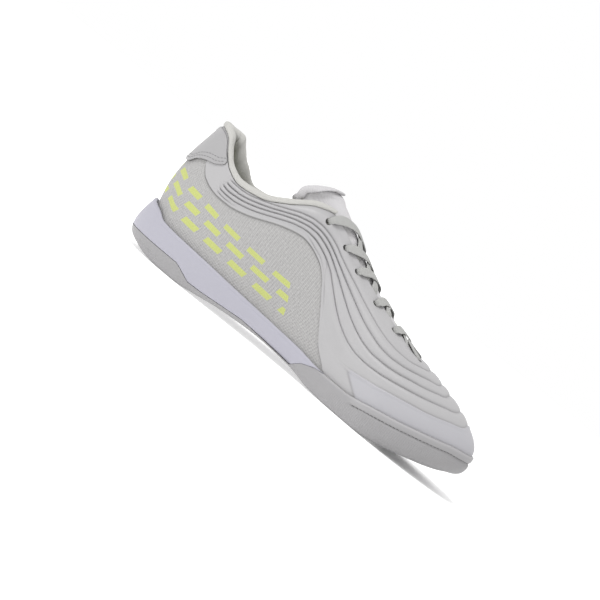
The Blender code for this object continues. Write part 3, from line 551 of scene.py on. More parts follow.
class Nodes:
    """Adds and links shader nodes of one material."""

    def __init__(self, name):
        self.material = bpy.data.materials.new(name)
        self.material.use_nodes = True
        self.tree = self.material.node_tree
        self.shader = self.tree.nodes["Principled BSDF"]

    def add(self, kind, inputs=(), **settings):
        node = self.tree.nodes.new(kind)
        for key, value in settings.items():
            setattr(node, key, value)
        for socket, value in dict(inputs).items():
            self.set(node, socket, value)
        return node

    def set(self, node, socket, value):
        if isinstance(value, bpy.types.NodeSocket):
            self.tree.links.new(value, node.inputs[socket])
        else:
            node.inputs[socket].default_value = value

    def math(self, operation, *values):
        node = self.add("ShaderNodeMath", operation=operation)
        for i, value in enumerate(values):
            self.set(node, i, value)
        return node.outputs[0]

    def wave(self, value, length):
        """A sine of a place, repeated every length."""
        return self.math("SINE", self.math("MULTIPLY", value, 2 * math.pi / length))

    def mix(self, share, first, second):
        """Two colours mixed; each is a socket or three numbers."""
        node = self.add("ShaderNodeMix", data_type="RGBA")
        self.set(node, 0, share)
        self.set(node, 6, first if isinstance(first, bpy.types.NodeSocket) else (*first, 1.0))
        self.set(node, 7, second if isinstance(second, bpy.types.NodeSocket) else (*second, 1.0))
        return node.outputs[2]

    def place(self):
        return self.add("ShaderNodeTexCoord").outputs["Object"]

    def surface(self):
        """The two directions of the piece's own surface, in metres."""
        uv = self.add("ShaderNodeUVMap", uv_map="surface")
        parts = self.add("ShaderNodeSeparateXYZ", {0: uv.outputs[0]})
        return parts.outputs[0], parts.outputs[1]

    def mark(self, name):
        """A value that the piece's points carry."""
        return self.add("ShaderNodeAttribute", attribute_name=name).outputs["Fac"]

    def noise(self, vector, scale, detail=2.0):
        node = self.add("ShaderNodeTexNoise", {"Vector": vector, "Scale": scale, "Detail": detail})
        return node.outputs["Fac"]

    def bump(self, height, distance, strength=1.0, normal=None):
        node = self.add("ShaderNodeBump", {"Height": height, "Distance": distance, "Strength": strength})
        if normal is not None:
            self.set(node, "Normal", normal)
        return node.outputs[0]

    def finish(self, colour, roughness, normal=None, specular=0.5):
        """Gives the shader its colour and finish, and returns the material."""
        self.set(self.shader, "Base Color", colour)
        self.set(self.shader, "Roughness", roughness)
        if normal is not None:
            self.set(self.shader, "Normal", normal)
        self.set(self.shader, "Specular IOR Level", specular)
        return self.material


def shade(colour, factor):
    """A colour made lighter or darker."""
    return tuple(min(1.0, part * factor) for part in colour)


def varied(nodes, place, colour, scale, amount):
    """A colour with soft, wide patches a little lighter and darker."""
    patches = nodes.noise(place, scale)
    return nodes.mix(patches, shade(colour, 1 - amount), shade(colour, 1 + amount))


def skin_material(colour, crease_shade_colour, overlay_colour):
    """Smooth synthetic skin: fine pores, with painted shade in the creases between the ribs and along the
    toe overlay's edges.
    """
    nodes = Nodes("skin")
    place = nodes.place()
    body = varied(nodes, place, colour, 22.0, 0.02)
    body = nodes.mix(nodes.mark("overlay"), body, overlay_colour)
    # Painted shade: the crease mark darkens the skin in the creases and along the toe overlay's edges.
    crease_shaded = nodes.mix(nodes.mark("crease"), body, crease_shade_colour)
    pores = nodes.noise(place, 1500.0, 3.0)
    grain = nodes.noise(place, 480.0, 2.0)
    height = nodes.math("ADD", nodes.math("MULTIPLY", pores, 0.5), grain)
    roughness = nodes.math("MULTIPLY_ADD", grain, 0.16, 0.40)
    normal = nodes.bump(height, 0.00012, 0.7)
    return nodes.finish(crease_shaded, roughness, normal, specular=0.45)


Dash = namedtuple("Dash", "bottom row slant stagger pitch length thickness rows reach")
DASH = Dash(9 * MM, 9.5 * MM, 0.65, 11 * MM, 24 * MM, 0.62, 0.50, 3, 150 * MM)


def dash_mask(nodes, across, up):
    """A broken band of short slanted dashes in staggered rows, along the lower quarter."""
    away = nodes.math("ABSOLUTE", across)
    rise = nodes.math("SUBTRACT", up, DASH.bottom)
    row = nodes.math("FLOOR", nodes.math("DIVIDE", rise, DASH.row))
    in_row = nodes.math("FRACT", nodes.math("DIVIDE", rise, DASH.row))
    lean = nodes.math("MULTIPLY", rise, DASH.slant)
    shift = nodes.math("MULTIPLY", row, DASH.stagger)
    run = nodes.math("ADD", nodes.math("SUBTRACT", away, lean), shift)
    in_dash = nodes.math("FRACT", nodes.math("DIVIDE", run, DASH.pitch))
    mask = nodes.math("LESS_THAN", in_dash, DASH.length)
    mask = nodes.math("MULTIPLY", mask, nodes.math("LESS_THAN", in_row, DASH.thickness))
    mask = nodes.math("MULTIPLY", mask, nodes.math("GREATER_THAN", row, -0.5))
    mask = nodes.math("MULTIPLY", mask, nodes.math("LESS_THAN", row, DASH.rows - 0.5))
    return nodes.math("MULTIPLY", mask, nodes.math("LESS_THAN", away, DASH.reach))


TWILL = 2.1 * MM
TWILL_ROW = 1.7 * MM
SOLE_RIB = 1.6 * MM
LACE_THREAD = 1.1 * MM
LACE_RIB = 0.8 * MM
KNIT_RIB = 1.3 * MM
KNIT_LOOP = 0.9 * MM


def mesh_material(colour, dash_colour):
    """Fine twill mesh with the lime dashes printed on it, and a dark line under the seam: partly the
    stitched seam, partly painted shadow under the skin's edge.
    """
    nodes = Nodes("quarter_mesh")
    across, up = nodes.surface()
    diagonal = nodes.math("ADD", across, nodes.math("MULTIPLY", up, 0.55))
    counter = nodes.math("SUBTRACT", up, nodes.math("MULTIPLY", across, 0.25))
    twill = nodes.wave(diagonal, TWILL)
    rows = nodes.wave(counter, TWILL_ROW)
    weave = nodes.math("MULTIPLY", nodes.math("ADD", twill, rows), 0.25)
    along_streak = nodes.math("MULTIPLY", diagonal, 850.0)
    across_streak = nodes.math("MULTIPLY", counter, 420.0)
    stretched = nodes.add("ShaderNodeCombineXYZ", {0: along_streak, 1: across_streak}).outputs[0]
    streaks = nodes.noise(stretched, 1.0, 1.0)
    shade_share = nodes.math("MULTIPLY_ADD", streaks, 1.1, nodes.math("MULTIPLY_ADD", weave, 0.55, -0.05))
    thread = nodes.mix(shade_share, shade(colour, 0.76), shade(colour, 1.16))
    printed = nodes.math("MULTIPLY", dash_mask(nodes, across, up), 0.85)
    print_and_seam_shade = nodes.mix(printed, thread, dash_colour)
    # Dark line under the seam from the crease mark: partly the stitched seam, partly painted shadow under
    # the skin's edge.
    print_and_seam_shade = nodes.mix(nodes.math("MULTIPLY", nodes.mark("crease"), 0.75), print_and_seam_shade, shade(colour, 0.55))
    normal = nodes.bump(nodes.math("ADD", weave, streaks), 0.00018, 0.8)
    return nodes.finish(print_and_seam_shade, 0.62, normal, specular=0.3)


def lining_material(colour):
    """Matt cloth inside the upper."""
    nodes = Nodes("lining")
    place = nodes.place()
    weave = nodes.noise(place, 900.0, 2.0)
    body = nodes.mix(weave, shade(colour, 0.85), shade(colour, 1.08))
    return nodes.finish(body, 0.9, nodes.bump(weave, 0.0003, 0.8), specular=0.2)


def foam_material(colour):
    """Moulded foam: satin, with a fine orange peel."""
    nodes = Nodes("foam")
    place = nodes.place()
    body = varied(nodes, place, colour, 16.0, 0.02)
    peel = nodes.noise(place, 1100.0, 2.0)
    roughness = nodes.math("MULTIPLY_ADD", peel, 0.15, 0.42)
    return nodes.finish(body, roughness, nodes.bump(peel, 0.0001, 0.6))


def rubber_material(colour):
    """Grey rubber with fine upright ribs round its side, darker in step with the ribs as painted shade, and
    a painted highlight along its rim with a lighter band over the front lip.
    """
    nodes = Nodes("sole_rubber")
    place = nodes.place()
    around = nodes.surface()[0]
    body = varied(nodes, place, colour, 30.0, 0.03)
    ribs = nodes.math("MULTIPLY", nodes.wave(around, SOLE_RIB), nodes.mark("ribbed"))
    grain = nodes.noise(place, 900.0, 2.0)
    height = nodes.math("MULTIPLY_ADD", ribs, 0.6, grain)
    # Painted shade that follows the ribs on the ribbed sidewalls.
    shaded = nodes.mix(nodes.math("MULTIPLY_ADD", ribs, 0.10, 0.10), body, shade(colour, 0.72))
    # Painted highlight just under the bite line, from the rim mark, which also lightens the front lip.
    shaded = nodes.mix(nodes.math("MULTIPLY", nodes.mark("rim"), 0.8), shaded, shade(colour, 1.35))
    roughness = nodes.math("MULTIPLY_ADD", grain, 0.2, 0.42)
    return nodes.finish(shaded, roughness, nodes.bump(height, 0.0002, 0.7))


def lace_material(colour):
    """A flat woven lace: chevrons of thread across its width."""
    nodes = Nodes("lace_weave")
    length, width = nodes.surface()
    bent = nodes.math("ADD", length, nodes.math("MULTIPLY", nodes.math("ABSOLUTE", width), 0.8))
    threads = nodes.wave(bent, LACE_THREAD)
    ribs = nodes.wave(width, LACE_RIB)
    weave = nodes.math("MULTIPLY", nodes.math("ADD", threads, ribs), 0.5)
    share = nodes.math("MULTIPLY_ADD", weave, 0.5, 0.5)
    body = nodes.mix(share, shade(colour, 0.84), shade(colour, 1.06))
    return nodes.finish(body, 0.8, nodes.bump(weave, 0.00016, 0.9), specular=0.25)


def knit_material(name, colour, scale=1.0):
    """Soft rib knit that follows the piece's own surface."""
    nodes = Nodes(name)
    across, up = nodes.surface()
    ribs = nodes.wave(across, KNIT_RIB * scale)
    loops = nodes.wave(up, KNIT_LOOP * scale)
    knit = nodes.math("MULTIPLY", nodes.math("ADD", ribs, nodes.math("MULTIPLY", loops, 0.6)), 0.5)
    fuzz = nodes.noise(nodes.place(), 700.0, 3.0)
    share = nodes.math("MULTIPLY_ADD", knit, 0.3, nodes.math("MULTIPLY", fuzz, 0.9))
    body = nodes.mix(share, shade(colour, 0.90), shade(colour, 1.05))
    normal = nodes.bump(nodes.math("ADD", knit, fuzz), 0.0002, 0.7)
    return nodes.finish(body, 0.88, normal, specular=0.2)


def thread_material(colour):
    """Twisted sewing thread."""
    nodes = Nodes("stitch_thread")
    twist = nodes.noise(nodes.place(), 2500.0, 1.0)
    body = nodes.mix(twist, shade(colour, 0.8), colour)
    return nodes.finish(body, 0.7, nodes.bump(twist, 0.0001, 0.8))


GLOW_END = 95 * MM
GLOW_FADE = 30 * MM
FLOOR_GLOW = 0.42
PAPER_GLOW = 0.08


def floor_material(colour):
    """White paper that glows faintly behind the ball of the foot, so the arch has no dark shadow."""
    nodes = Nodes("studio_floor")
    place = nodes.place()
    dust = nodes.noise(place, 6.0, 2.0)
    body = nodes.mix(dust, shade(colour, 0.995), colour)
    x = nodes.add("ShaderNodeSeparateXYZ", {0: place}).outputs[0]
    behind_toe = nodes.math("SUBTRACT", GLOW_END, x)
    faded = nodes.math("DIVIDE", behind_toe, GLOW_FADE)
    share = nodes.add("ShaderNodeClamp", {"Value": faded}).outputs[0]
    nodes.set(nodes.shader, "Emission Color", (1.0, 1.0, 1.0, 1.0))
    glow = nodes.math("MULTIPLY_ADD", share, FLOOR_GLOW, PAPER_GLOW)
    nodes.set(nodes.shader, "Emission Strength", glow)
    return nodes.finish(body, 0.9, specular=0.1)


# Upper

RIB_RELIEF = 1.35 * MM
RIB_SLOPE = 0.30
RIB_ROUNDNESS = 2.4
VALLEY = 0.35 * MM
CREASE_WIDTH = 1.25 * MM
SEAM_STEPS = [4.0 * MM, 2.6 * MM, 1.7 * MM, 1.1 * MM, 0.8 * MM, 0.5 * MM, 0.25 * MM, 0.1 * MM]
SEAM_LINE = 1.1 * MM
SEAM_RISE = (0.45 * MM, 0.15 * MM)
SEAM_FADE = 0.05
SEAM_CLEARANCE = 0.02
LOWEST_SEAM = 0.01
MARK_SPACING = 0.006
MARK_LEEWAY = 0.004
QUARTER_RECESS = 0.9 * MM
QUARTER_FADE = (SEAM_END - 0.02, SEAM_END - 0.002)
QUARTER_ROWS = 14
RIB_ROWS = 11
TOE_FLATTENING = 0.3
TOE_FLAT = (0.80, 0.94)
THROAT_ROWS = 18
THROAT_EASE = 1.6
THROAT_SWELL = 0.8 * MM
THROAT_SLOPE = 0.08
EDGE_ROUND = 0.5 * MM
EDGE_SINK = 0.35 * MM
WALL_BOW = 1.1
OVERLAY_X = 0.646
OVERLAY_Z = 0.263
OVERLAY_LEAN = 1.4
OVERLAY_THICKNESS = 0.35 * MM
OVERLAY_START = (0.60, 0.64)
OVERLAY_SOFT = 0.5 * MM
OVERLAY_TOP = 1.2 * MM
OVERLAY_EDGE = 1.4 * MM
OVERLAY_RIDGE = 0.6 * MM
RIDGE_SPREAD = 0.7 * MM
# Painted shade just under the lowest crease over the toe overlay, and along the overlay's front edge.
EDGE_SHADE = 0.8 * MM
EDGE_SHADE_STRENGTH = 0.25
TOE_SHADE_STRENGTH = 0.45
TOE_EDGE = (0.74, 0.82)
FRONT_SHADE_STRENGTH = 0.8


def rib_share(k):
    """Shares up a rib, closer together beside its creases."""
    return 0.5 - 0.5 * math.cos(math.pi * k / RIB_ROWS)


def rib_band(s, width, low, high):
    """Relief across one rib, between creases of given strengths, and how much painted shade it takes beside
    each crease.
    """
    swell = np.minimum(RIB_RELIEF, RIB_SLOPE * width)
    from_low = 1.0 - (1.0 - min(2.0 * s, 1.0)) ** RIB_ROUNDNESS
    from_high = 1.0 - (1.0 - min(2.0 * (1.0 - s), 1.0)) ** RIB_ROUNDNESS
    rise = (from_low * low + float(blend(0.0, 1.0, s)) * (1.0 - low)) * from_high
    # valley is both the dip beside each crease and the painted shade there.
    valley = (np.maximum(0.0, 1.0 - s * width / CREASE_WIDTH) * low
              + np.maximum(0.0, 1.0 - (1.0 - s) * width / CREASE_WIDTH) * high)
    return (swell * rise - VALLEY * valley) * np.maximum(low, high), valley


def crease_strengths(x_share):
    """How strong each crease is in each column, from the lowest crease up."""
    strengths = [blend(RIB_START + i * RIB_STAGGER, RIB_FULL + i * RIB_STAGGER, x_share)
                 for i in range(len(CREASES))]
    low_rib = np.interp(x_share, [row.x for row in LOW_RIB], [row.strength for row in LOW_RIB])
    strengths[0] = strengths[0] * low_rib
    return strengths


def column_marks(phi, creases):
    """Shares up each column of the bite line, the seam, the creases and the top edge."""
    past = blend(SEAM_END, SEAM_END + SEAM_FADE, along(phi))
    seam = np.minimum(where_line_crosses(phi, SEAM), creases[0] - SEAM_CLEARANCE)
    seam = seam * (1.0 - past) + 0.5 * creases[0] * past
    marks = [np.zeros_like(seam), np.maximum(seam, LOWEST_SEAM)] + creases + [np.ones_like(seam)]
    for i in range(1, len(marks)):
        marks[i] = np.maximum(marks[i], marks[i - 1] + MARK_SPACING)
    for i in reversed(range(1, len(marks) - 1)):
        marks[i] = np.minimum(marks[i], marks[i + 1] - MARK_LEEWAY)
    return marks


def quarter_rows(seam, height, quarter):
    """Rows of the recessed mesh, from the bite line up to the seam."""
    near = np.minimum(SEAM_STEPS[0] / (seam * height), 0.5)
    rows = []
    for k in range(QUARTER_ROWS):
        rows.append((seam * (1.0 - near) * k / QUARTER_ROWS, -QUARTER_RECESS * quarter, 0.0))
    for step in SEAM_STEPS:
        v = seam * (1.0 - near * step / SEAM_STEPS[0])
        sunk = 1.0 - float(blend(*SEAM_RISE, step))
        # The rows just under the seam take the dark line: partly the stitched seam, partly painted shadow
        # under the skin's edge.
        shaded = float(step <= SEAM_LINE) * quarter
        rows.append((v, -QUARTER_RECESS * quarter * sunk, shaded))
    return rows


def low_band_rows(marks, height, strength, x_share):
    """Rows from the seam up to the lowest crease, which hold the toe overlay's top edge too, with painted
    shade just under that crease.
    """
    width = (marks[2] - marks[1]) * height
    toe = blend(*OVERLAY_START, x_share)
    # Painted shade just under the lowest crease over the toe overlay, stronger toward the toe.
    edge = EDGE_SHADE_STRENGTH + TOE_SHADE_STRENGTH * blend(*TOE_EDGE, x_share)
    rows = []
    for k in range(RIB_ROWS):
        s = rib_share(k)
        relief, crease = rib_band(s, width, 0.0, strength)
        below = (1.0 - s) * width
        ridge = OVERLAY_RIDGE * np.exp(-((below - OVERLAY_EDGE) / RIDGE_SPREAD) ** 2)
        shaded = edge * np.maximum(0.0, 1.0 - below / EDGE_SHADE)
        rows.append((marks[1] + (marks[2] - marks[1]) * s, relief * (1 - toe) + ridge * toe,
                     crease * (1 - toe) + shaded * toe))
    return rows


def rib_rows(marks, height, strengths, flatter):
    """Rows of the ribs, each from one crease up to the next."""
    rows = []
    for i in range(len(strengths) - 1):
        low, high = marks[i + 2], marks[i + 3]
        width = (high - low) * height
        for k in range(RIB_ROWS):
            s = rib_share(k)
            relief, crease = rib_band(s, width, strengths[i], strengths[i + 1])
            rows.append((low + (high - low) * s, relief * flatter, crease))
    return rows


def throat_rows(low, height, strength):
    """Rows of the skin from the highest crease up to the rounded top edge."""
    width = (1.0 - low) * height
    rows = []
    for k in range(THROAT_ROWS):
        s = (k / THROAT_ROWS) ** THROAT_EASE
        swell = np.minimum(THROAT_SWELL, THROAT_SLOPE * width)
        swell = swell * (1 - (2 * min(s * THROAT_EASE, 1.0) - 1) ** 2)
        # Painted shade just above the highest crease.
        crease = strength * np.maximum(0.0, 1.0 - s * width / CREASE_WIDTH)
        rows.append((low + (1.0 - low) * s, swell * strength - VALLEY * crease, crease))
    rows.append((1.0 - EDGE_ROUND / height, 0.0, 0.0))
    rows.append((1.0, -EDGE_SINK, 0.0))
    return rows


def past_overlay_front(points):
    """How far each point lies past the toe overlay's slanted front edge."""
    x = points[..., 0] / SHOE_LENGTH + 0.5
    z = points[..., 2] / COLLAR_HEIGHT
    below = np.maximum(OVERLAY_Z - z, 0.0) * COLLAR_HEIGHT * OVERLAY_LEAN
    return ((x - OVERLAY_X) * SHOE_LENGTH - below) / math.hypot(1.0, OVERLAY_LEAN)


def upper_rows(phi):
    """Shares up each column, how far each row stands off the wall, how much it is darkened (painted
    shade in the creases and along the toe overlay's edges, and the line under the seam, partly
    stitching and partly painted shadow), how much of it is toe overlay, and the first row above the seam."""
    at = along(phi)
    creases = [where_line_crosses(phi, points) for points in CREASES]
    lowest = creases[0][:, None]
    x_share = wall_points(phi, lowest)[:, 0, 0] / SHOE_LENGTH + 0.5
    strengths = crease_strengths(x_share)
    marks = column_marks(phi, creases)
    foot, top = (wall_points(phi, np.full((len(phi), 1), v))[:, 0] for v in (0.0, 1.0))
    height = WALL_BOW * np.linalg.norm(top - foot, axis=-1)
    quarter = 1.0 - blend(*QUARTER_FADE, at)
    flatter = 1.0 - TOE_FLATTENING * blend(*TOE_FLAT, x_share)
    below_seam = quarter_rows(marks[1], height, quarter)
    rows = below_seam + low_band_rows(marks, height, strengths[0], x_share)
    rows = rows + rib_rows(marks, height, strengths, flatter)
    rows = rows + throat_rows(marks[-2], height, strengths[-1])
    v, relief, crease = (np.stack([np.broadcast_to(row[i], at.shape) for row in rows], 1) for i in range(3))
    past_front = past_overlay_front(wall_points(phi, v))
    overlay = blend(-OVERLAY_SOFT, OVERLAY_SOFT, past_front) * (v < lowest)
    under_top = blend(0.0, OVERLAY_TOP, (lowest - v) * height[:, None])
    relief = relief + OVERLAY_THICKNESS * overlay * under_top
    # Painted shade along the toe overlay's slanted front edge.
    front = np.exp(-(past_front / EDGE_SHADE) ** 2) * (v < 0.9 * lowest) * (at[:, None] > SEAM_END)
    return v, relief, np.maximum(crease, FRONT_SHADE_STRENGTH * front), overlay, len(below_seam)


def margin_rows(phi, depth):
    """The wall below the bite line: down inside the rim and turned in over the bed."""
    bed = sole_height("bed", phi) + GAP
    base = wall_base(phi)
    rows = [sole_point(phi, base + MARGIN, bed + depth), sole_point(phi, base + TURN_RADIUS, bed + depth)]
    bend = TURN_RADIUS - depth
    for angle in (math.pi / 8, math.pi / 4, 3 * math.pi / 8):
        inset = base + TURN_RADIUS - bend * math.sin(angle)
        rows.append(sole_point(phi, inset, bed + TURN_RADIUS - bend * math.cos(angle)))
    rows.append(sole_point(phi, base + depth, bed + TURN_RADIUS))
    return np.stack(rows, 1)


UPPER_COLUMNS = 680
INSIDE_ROWS = 16


def make_upper_shell(materials):
    """The upper's closed shell; its materials are the skin, the quarter's mesh and the lining."""
    phi = even_angles(UPPER_COLUMNS)
    v, relief, crease, overlay, rows_below_seam = upper_rows(phi)
    outside = off_wall(phi, v, relief)
    under = margin_rows(phi, 0.0)
    inner_v = np.broadcast_to(np.linspace(0.0, 1.0, INSIDE_ROWS), (len(phi), INSIDE_ROWS))
    inside = off_wall(phi, inner_v, -WALL)[:, ::-1]
    under_inside = margin_rows(phi, WALL)[:, ::-1]
    points = np.concatenate([under, outside, inside, under_inside], axis=1)
    rows = points.shape[1]
    first = under.shape[1]
    seam_row = first + rows_below_seam
    first_inside = first + outside.shape[1]

    run, whole = run_round(phi)
    lengths = np.linalg.norm(np.diff(points, axis=1), axis=-1)
    climb = np.concatenate([np.zeros((len(phi), 1)), np.cumsum(lengths, axis=1)], axis=1)
    uvs = np.zeros((len(phi), rows, 2))
    uvs[..., 0] = np.where(phi > math.pi, run - whole, run)[:, None]
    uvs[..., 1] = climb - climb[:, first:first + 1]
    marks = {}
    # The crease mark carries painted shade in the creases and along the toe overlay's edges, and the line
    # under the seam, partly stitching and partly painted shadow.
    for name, values in (("crease", crease), ("overlay", overlay)):
        marks[name] = np.zeros((len(phi), rows))
        marks[name][:, first:first_inside] = values
    upper = new_mesh("upper_shell", points, grid_faces(len(phi), rows, tube=True), uvs, marks)

    skin, mesh, lining = range(3)
    kinds = np.full((len(phi), rows), skin, np.int32)
    kinds[along(phi) < SEAM_END, :seam_row] = mesh
    kinds[:, first_inside - 1:] = lining
    for material in materials:
        upper.data.materials.append(material)
    upper.data.polygons.foreach_set("material_index", kinds.ravel())
    return upper


def eyelet_setback(at):
    """How far the eyelets lie from the throat's edge, farther toward the toe."""
    return EYELET_EDGE + EYELET_SPREAD * blend(*EYELET_SPREAD_AT, at)


def eyelet_places():
    """The middle and the outward direction of each lace hole."""
    for at in EYELET_AT:
        for phi in (angle_of(at), 2 * math.pi - angle_of(at)):
            v = edge_shares(phi, float(eyelet_setback(at)))
            point = Vector(wall_points(np.array([phi]), v[:, None])[0, 0])
            normal = Vector(wall_normals(np.array([phi]), v[:, None])[0, 0])
            yield point, normal


def cut_eyelets(upper, diameter):
    """Punches the lace holes through both sides of the throat."""
    cutters = []
    for point, normal in eyelet_places():
        bpy.ops.mesh.primitive_cylinder_add(vertices=20, radius=diameter / 2, depth=6 * WALL)
        cutter = bpy.context.object
        turned = normal.to_track_quat("Z", "Y").to_matrix().to_4x4()
        cutter.matrix_world = Matrix.Translation(point) @ turned
        cutters.append(cutter)
    deselect_all()
    for cutter in cutters:
        cutter.select_set(True)
    bpy.context.view_layer.objects.active = cutters[0]
    bpy.ops.object.join()
    cutter = bpy.context.object
    hole = upper.modifiers.new("Holes", "BOOLEAN")
    hole.operation = "DIFFERENCE"
    hole.solver = "EXACT"
    hole.object = cutter
    apply_modifiers(upper)
    bpy.data.objects.remove(cutter)


def make_band(name, sections):
    """A closed tube through sections of points, capped at both ends."""
    columns, rows = sections.shape[:2]
    faces = grid_faces(columns, rows, around=False, tube=True)
    faces.append(tuple(range(rows)))
    faces.append(tuple(reversed(range((columns - 1) * rows, columns * rows))))
    uvs = np.zeros((columns, rows, 2))
    uvs[..., 0] = run_along(sections.mean(axis=1))[:, None]
    around = np.linalg.norm(np.diff(np.concatenate([sections, sections[:, :1]], axis=1), axis=1), axis=-1)
    uvs[..., 1] = np.concatenate([np.zeros((columns, 1)), np.cumsum(around, axis=1)[:, :-1]], axis=1)
    obj = new_mesh(name, sections, faces, uvs)
    seal_outward(obj)
    return obj


def through(p0, p1, p2, p3, s):
    """The smooth curve from p1 to p2, which passes p0 before them and p3 after them."""
    return 0.5 * (2 * p1 + (p2 - p0) * s + (2 * p0 - 5 * p1 + 4 * p2 - p3) * s * s
                  + (3 * p1 - p0 - 3 * p2 + p3) * s ** 3)


def round_off(section, steps):
    """A smooth closed curve through each section's corners."""
    count = section.shape[1]
    keys = np.arange(count * steps) / steps
    i = np.floor(keys).astype(int)
    s = (keys - i)[None, :, None]
    p0, p1 = section[:, (i - 1) % count], section[:, i % count]
    p2, p3 = section[:, (i + 1) % count], section[:, (i + 2) % count]
    return through(p0, p1, p2, p3, s)


ROLL_WIDTH = 4.6 * MM
ROLL_HEIGHT = 5.2 * MM
LINING_DROP = 11.0 * MM
HEEL_PADDING = 3.5 * MM
FAR_PADDING = 1.2
FAR_RISE = 5.5 * MM
ROLL_END = 0.515
ROLL_TAPER = 0.438
FAR_SIDE = (0.0, 0.65)
HEEL_END = (0.10, 0.26)
FAR_RISE_START = (0.02, 0.10)
FAR_RISE_END = (0.18, 0.25)


def make_collar_roll_mesh():
    """The padded roll along the collar, with its lining drawn down inside the upper."""
    end = angle_of(ROLL_END)
    phi = np.mod(even_angles(260, -end, end, closed=False), 2 * math.pi)
    one = np.ones((len(phi), 1))
    top = wall_points(phi, one)[:, 0]
    normal = wall_normals(phi, one)[:, 0]
    up = unit(top - wall_points(phi, 0.97 * one)[:, 0])
    slim = blend(ROLL_TAPER, ROLL_END, along(phi))
    lining = WALL + (2.0 + 4.0 * slim) * GAP
    inside = ROLL_WIDTH - slim * (ROLL_WIDTH - lining - 0.5 * MM)
    far_side = blend(*FAR_SIDE, np.sin(phi))
    at_heel = 1.0 - blend(*HEEL_END, along(phi))
    beside_heel = blend(*FAR_RISE_START, along(phi)) * (1.0 - blend(*FAR_RISE_END, along(phi)))
    inside = inside + HEEL_PADDING * (1.0 + FAR_PADDING * far_side) * at_heel
    drop = LINING_DROP * (1.0 - 0.85 * slim)
    height = ROLL_HEIGHT * (1.0 - 0.3 * slim) + FAR_RISE * far_side * beside_heel
    half = edge_shares(phi, 0.5 * drop)
    deep = edge_shares(phi, drop)

    def over(across, lift):
        return top + normal * across[:, None] + up * lift[:, None]

    zero = np.zeros_like(slim)
    section = np.stack([
        off_wall(phi, deep, -lining[:, None])[:, 0],
        off_wall(phi, half, -lining[:, None])[:, 0],
        over(-lining, zero + 0.6 * GAP),
        over(zero + 0.4 * MM, zero + 0.5 * GAP),
        over(zero + 1.2 * MM, 0.40 * height),
        over(zero + 0.4 * MM, 0.85 * height),
        over(-0.40 * inside, 1.02 * height),
        over(-0.80 * inside, 0.80 * height),
        over(-inside, 0.25 * height),
        off_wall(phi, half, -np.maximum(0.8 * inside, lining + 1.0 * MM)[:, None])[:, 0],
        off_wall(phi, deep, -(lining + 0.6 * MM)[:, None])[:, 0],
    ], axis=1)
    return make_band("collar_knit_roll", round_off(section, 3))


TAB_END = 0.148
TAB_TOP = 0.985
TAB_THICKNESS = 1.0 * MM


def tab_low(phi):
    """Where the heel tab's lower edge crosses each column."""
    return np.minimum(where_line_crosses(phi, TAB_EDGE), TAB_TOP - 0.04)


def pillow(name, low_side, high_side, uvs):
    """A thin closed sheet between two grids of points whose edges meet."""
    columns, rows = high_side.shape[:2]
    points = np.concatenate([high_side.reshape(-1, 3), low_side.reshape(-1, 3)])
    top = grid_faces(columns, rows, around=False)
    offset = columns * rows
    faces = top + [tuple(offset + i for i in reversed(face)) for face in top]
    obj = new_mesh(name, points, faces, np.concatenate([uvs.reshape(-1, 2)] * 2))
    seal_outward(obj)
    return obj


def edge_fade(columns, rows, columns_soft, rows_soft):
    """0 on the edge of a grid and 1 inside, rounded off over some columns and rows."""
    i = np.minimum(np.arange(columns), np.arange(columns)[::-1])[:, None] / columns_soft
    k = np.minimum(np.arange(rows), np.arange(rows)[::-1])[None, :] / rows_soft
    near = np.minimum(np.clip(i, 0, 1), np.clip(k, 0, 1))
    return np.sqrt(1 - (1 - near) ** 2)


def make_heel_tab_mesh():
    """The smooth overlay round the back of the heel."""
    end = angle_of(TAB_END)
    phi = np.mod(even_angles(110, -end, end, closed=False), 2 * math.pi)
    low = tab_low(phi)
    shares = np.linspace(0, 1, 44)[None, :]
    v = low[:, None] + (TAB_TOP - low[:, None]) * shares
    fade = edge_fade(*v.shape, 2, 2)
    inner = off_wall(phi, v, GAP)
    outer = off_wall(phi, v, GAP + TAB_THICKNESS * fade)
    uvs = np.zeros((*v.shape, 2))
    uvs[..., 0] = outer[..., 1]
    uvs[..., 1] = outer[..., 2]
    return pillow("heel_tab_skin", inner, outer, uvs)


# Tongue

FILL_STEPS = 4
TONGUE_ROUND = 1.6
CROWN_REACH = 0.27
TONGUE_CLEARANCE = 0.6 * MM
TONGUE_WING = 10.0 * MM
TONGUE_THICKNESS = 3.0 * MM
TONGUE_SWELL = 2.3 * MM
TONGUE_STEPS = 7
TONGUE_EDGE = 5
TIP_REACH = (8.0 * MM, 0.0, -5.5 * MM)
BINDING_RADIUS = 2.0 * MM
BINDING_REACH = 1.6 * MM
BINDING_LONG = 1.5
BINDING_FLAT = 0.62
BINDING_STEPS = 8
TURNS = 20


def throat_curve(at, depth):
    """The curve that bridges the throat between its two edges, and its wings under the wall."""
    ends = []
    for phi in (angle_of(at), 2 * math.pi - angle_of(at)):
        deep = edge_shares(phi, TONGUE_WING)[0]
        v = np.array([[deep, (1 + deep) / 2, 1.0]])
        wing = off_wall(phi, v, -depth)[0]
        ends.append((wing, unit(wing[2] - wing[1])))
    (near, near_run), (far, far_run) = ends
    reach = CROWN_REACH * np.linalg.norm(far[2] - near[2])
    bridge = (near[2], near[2] + near_run * reach, far[2] + far_run * reach, far[2])
    return near, bridge, far


def tongue_section(at):
    """Points across the tongue under the throat, swollen a little in its middle."""
    near, bridge, far = throat_curve(at, WALL + TONGUE_CLEARANCE)
    middle = []
    for i in range(1, FILL_STEPS):
        lift = TONGUE_SWELL * math.sin(math.pi * i / FILL_STEPS)
        middle.append(on_curve(bridge, i / FILL_STEPS) + np.array([0.0, 0.0, lift]))
    return np.array(list(near) + middle + list(far[::-1]))


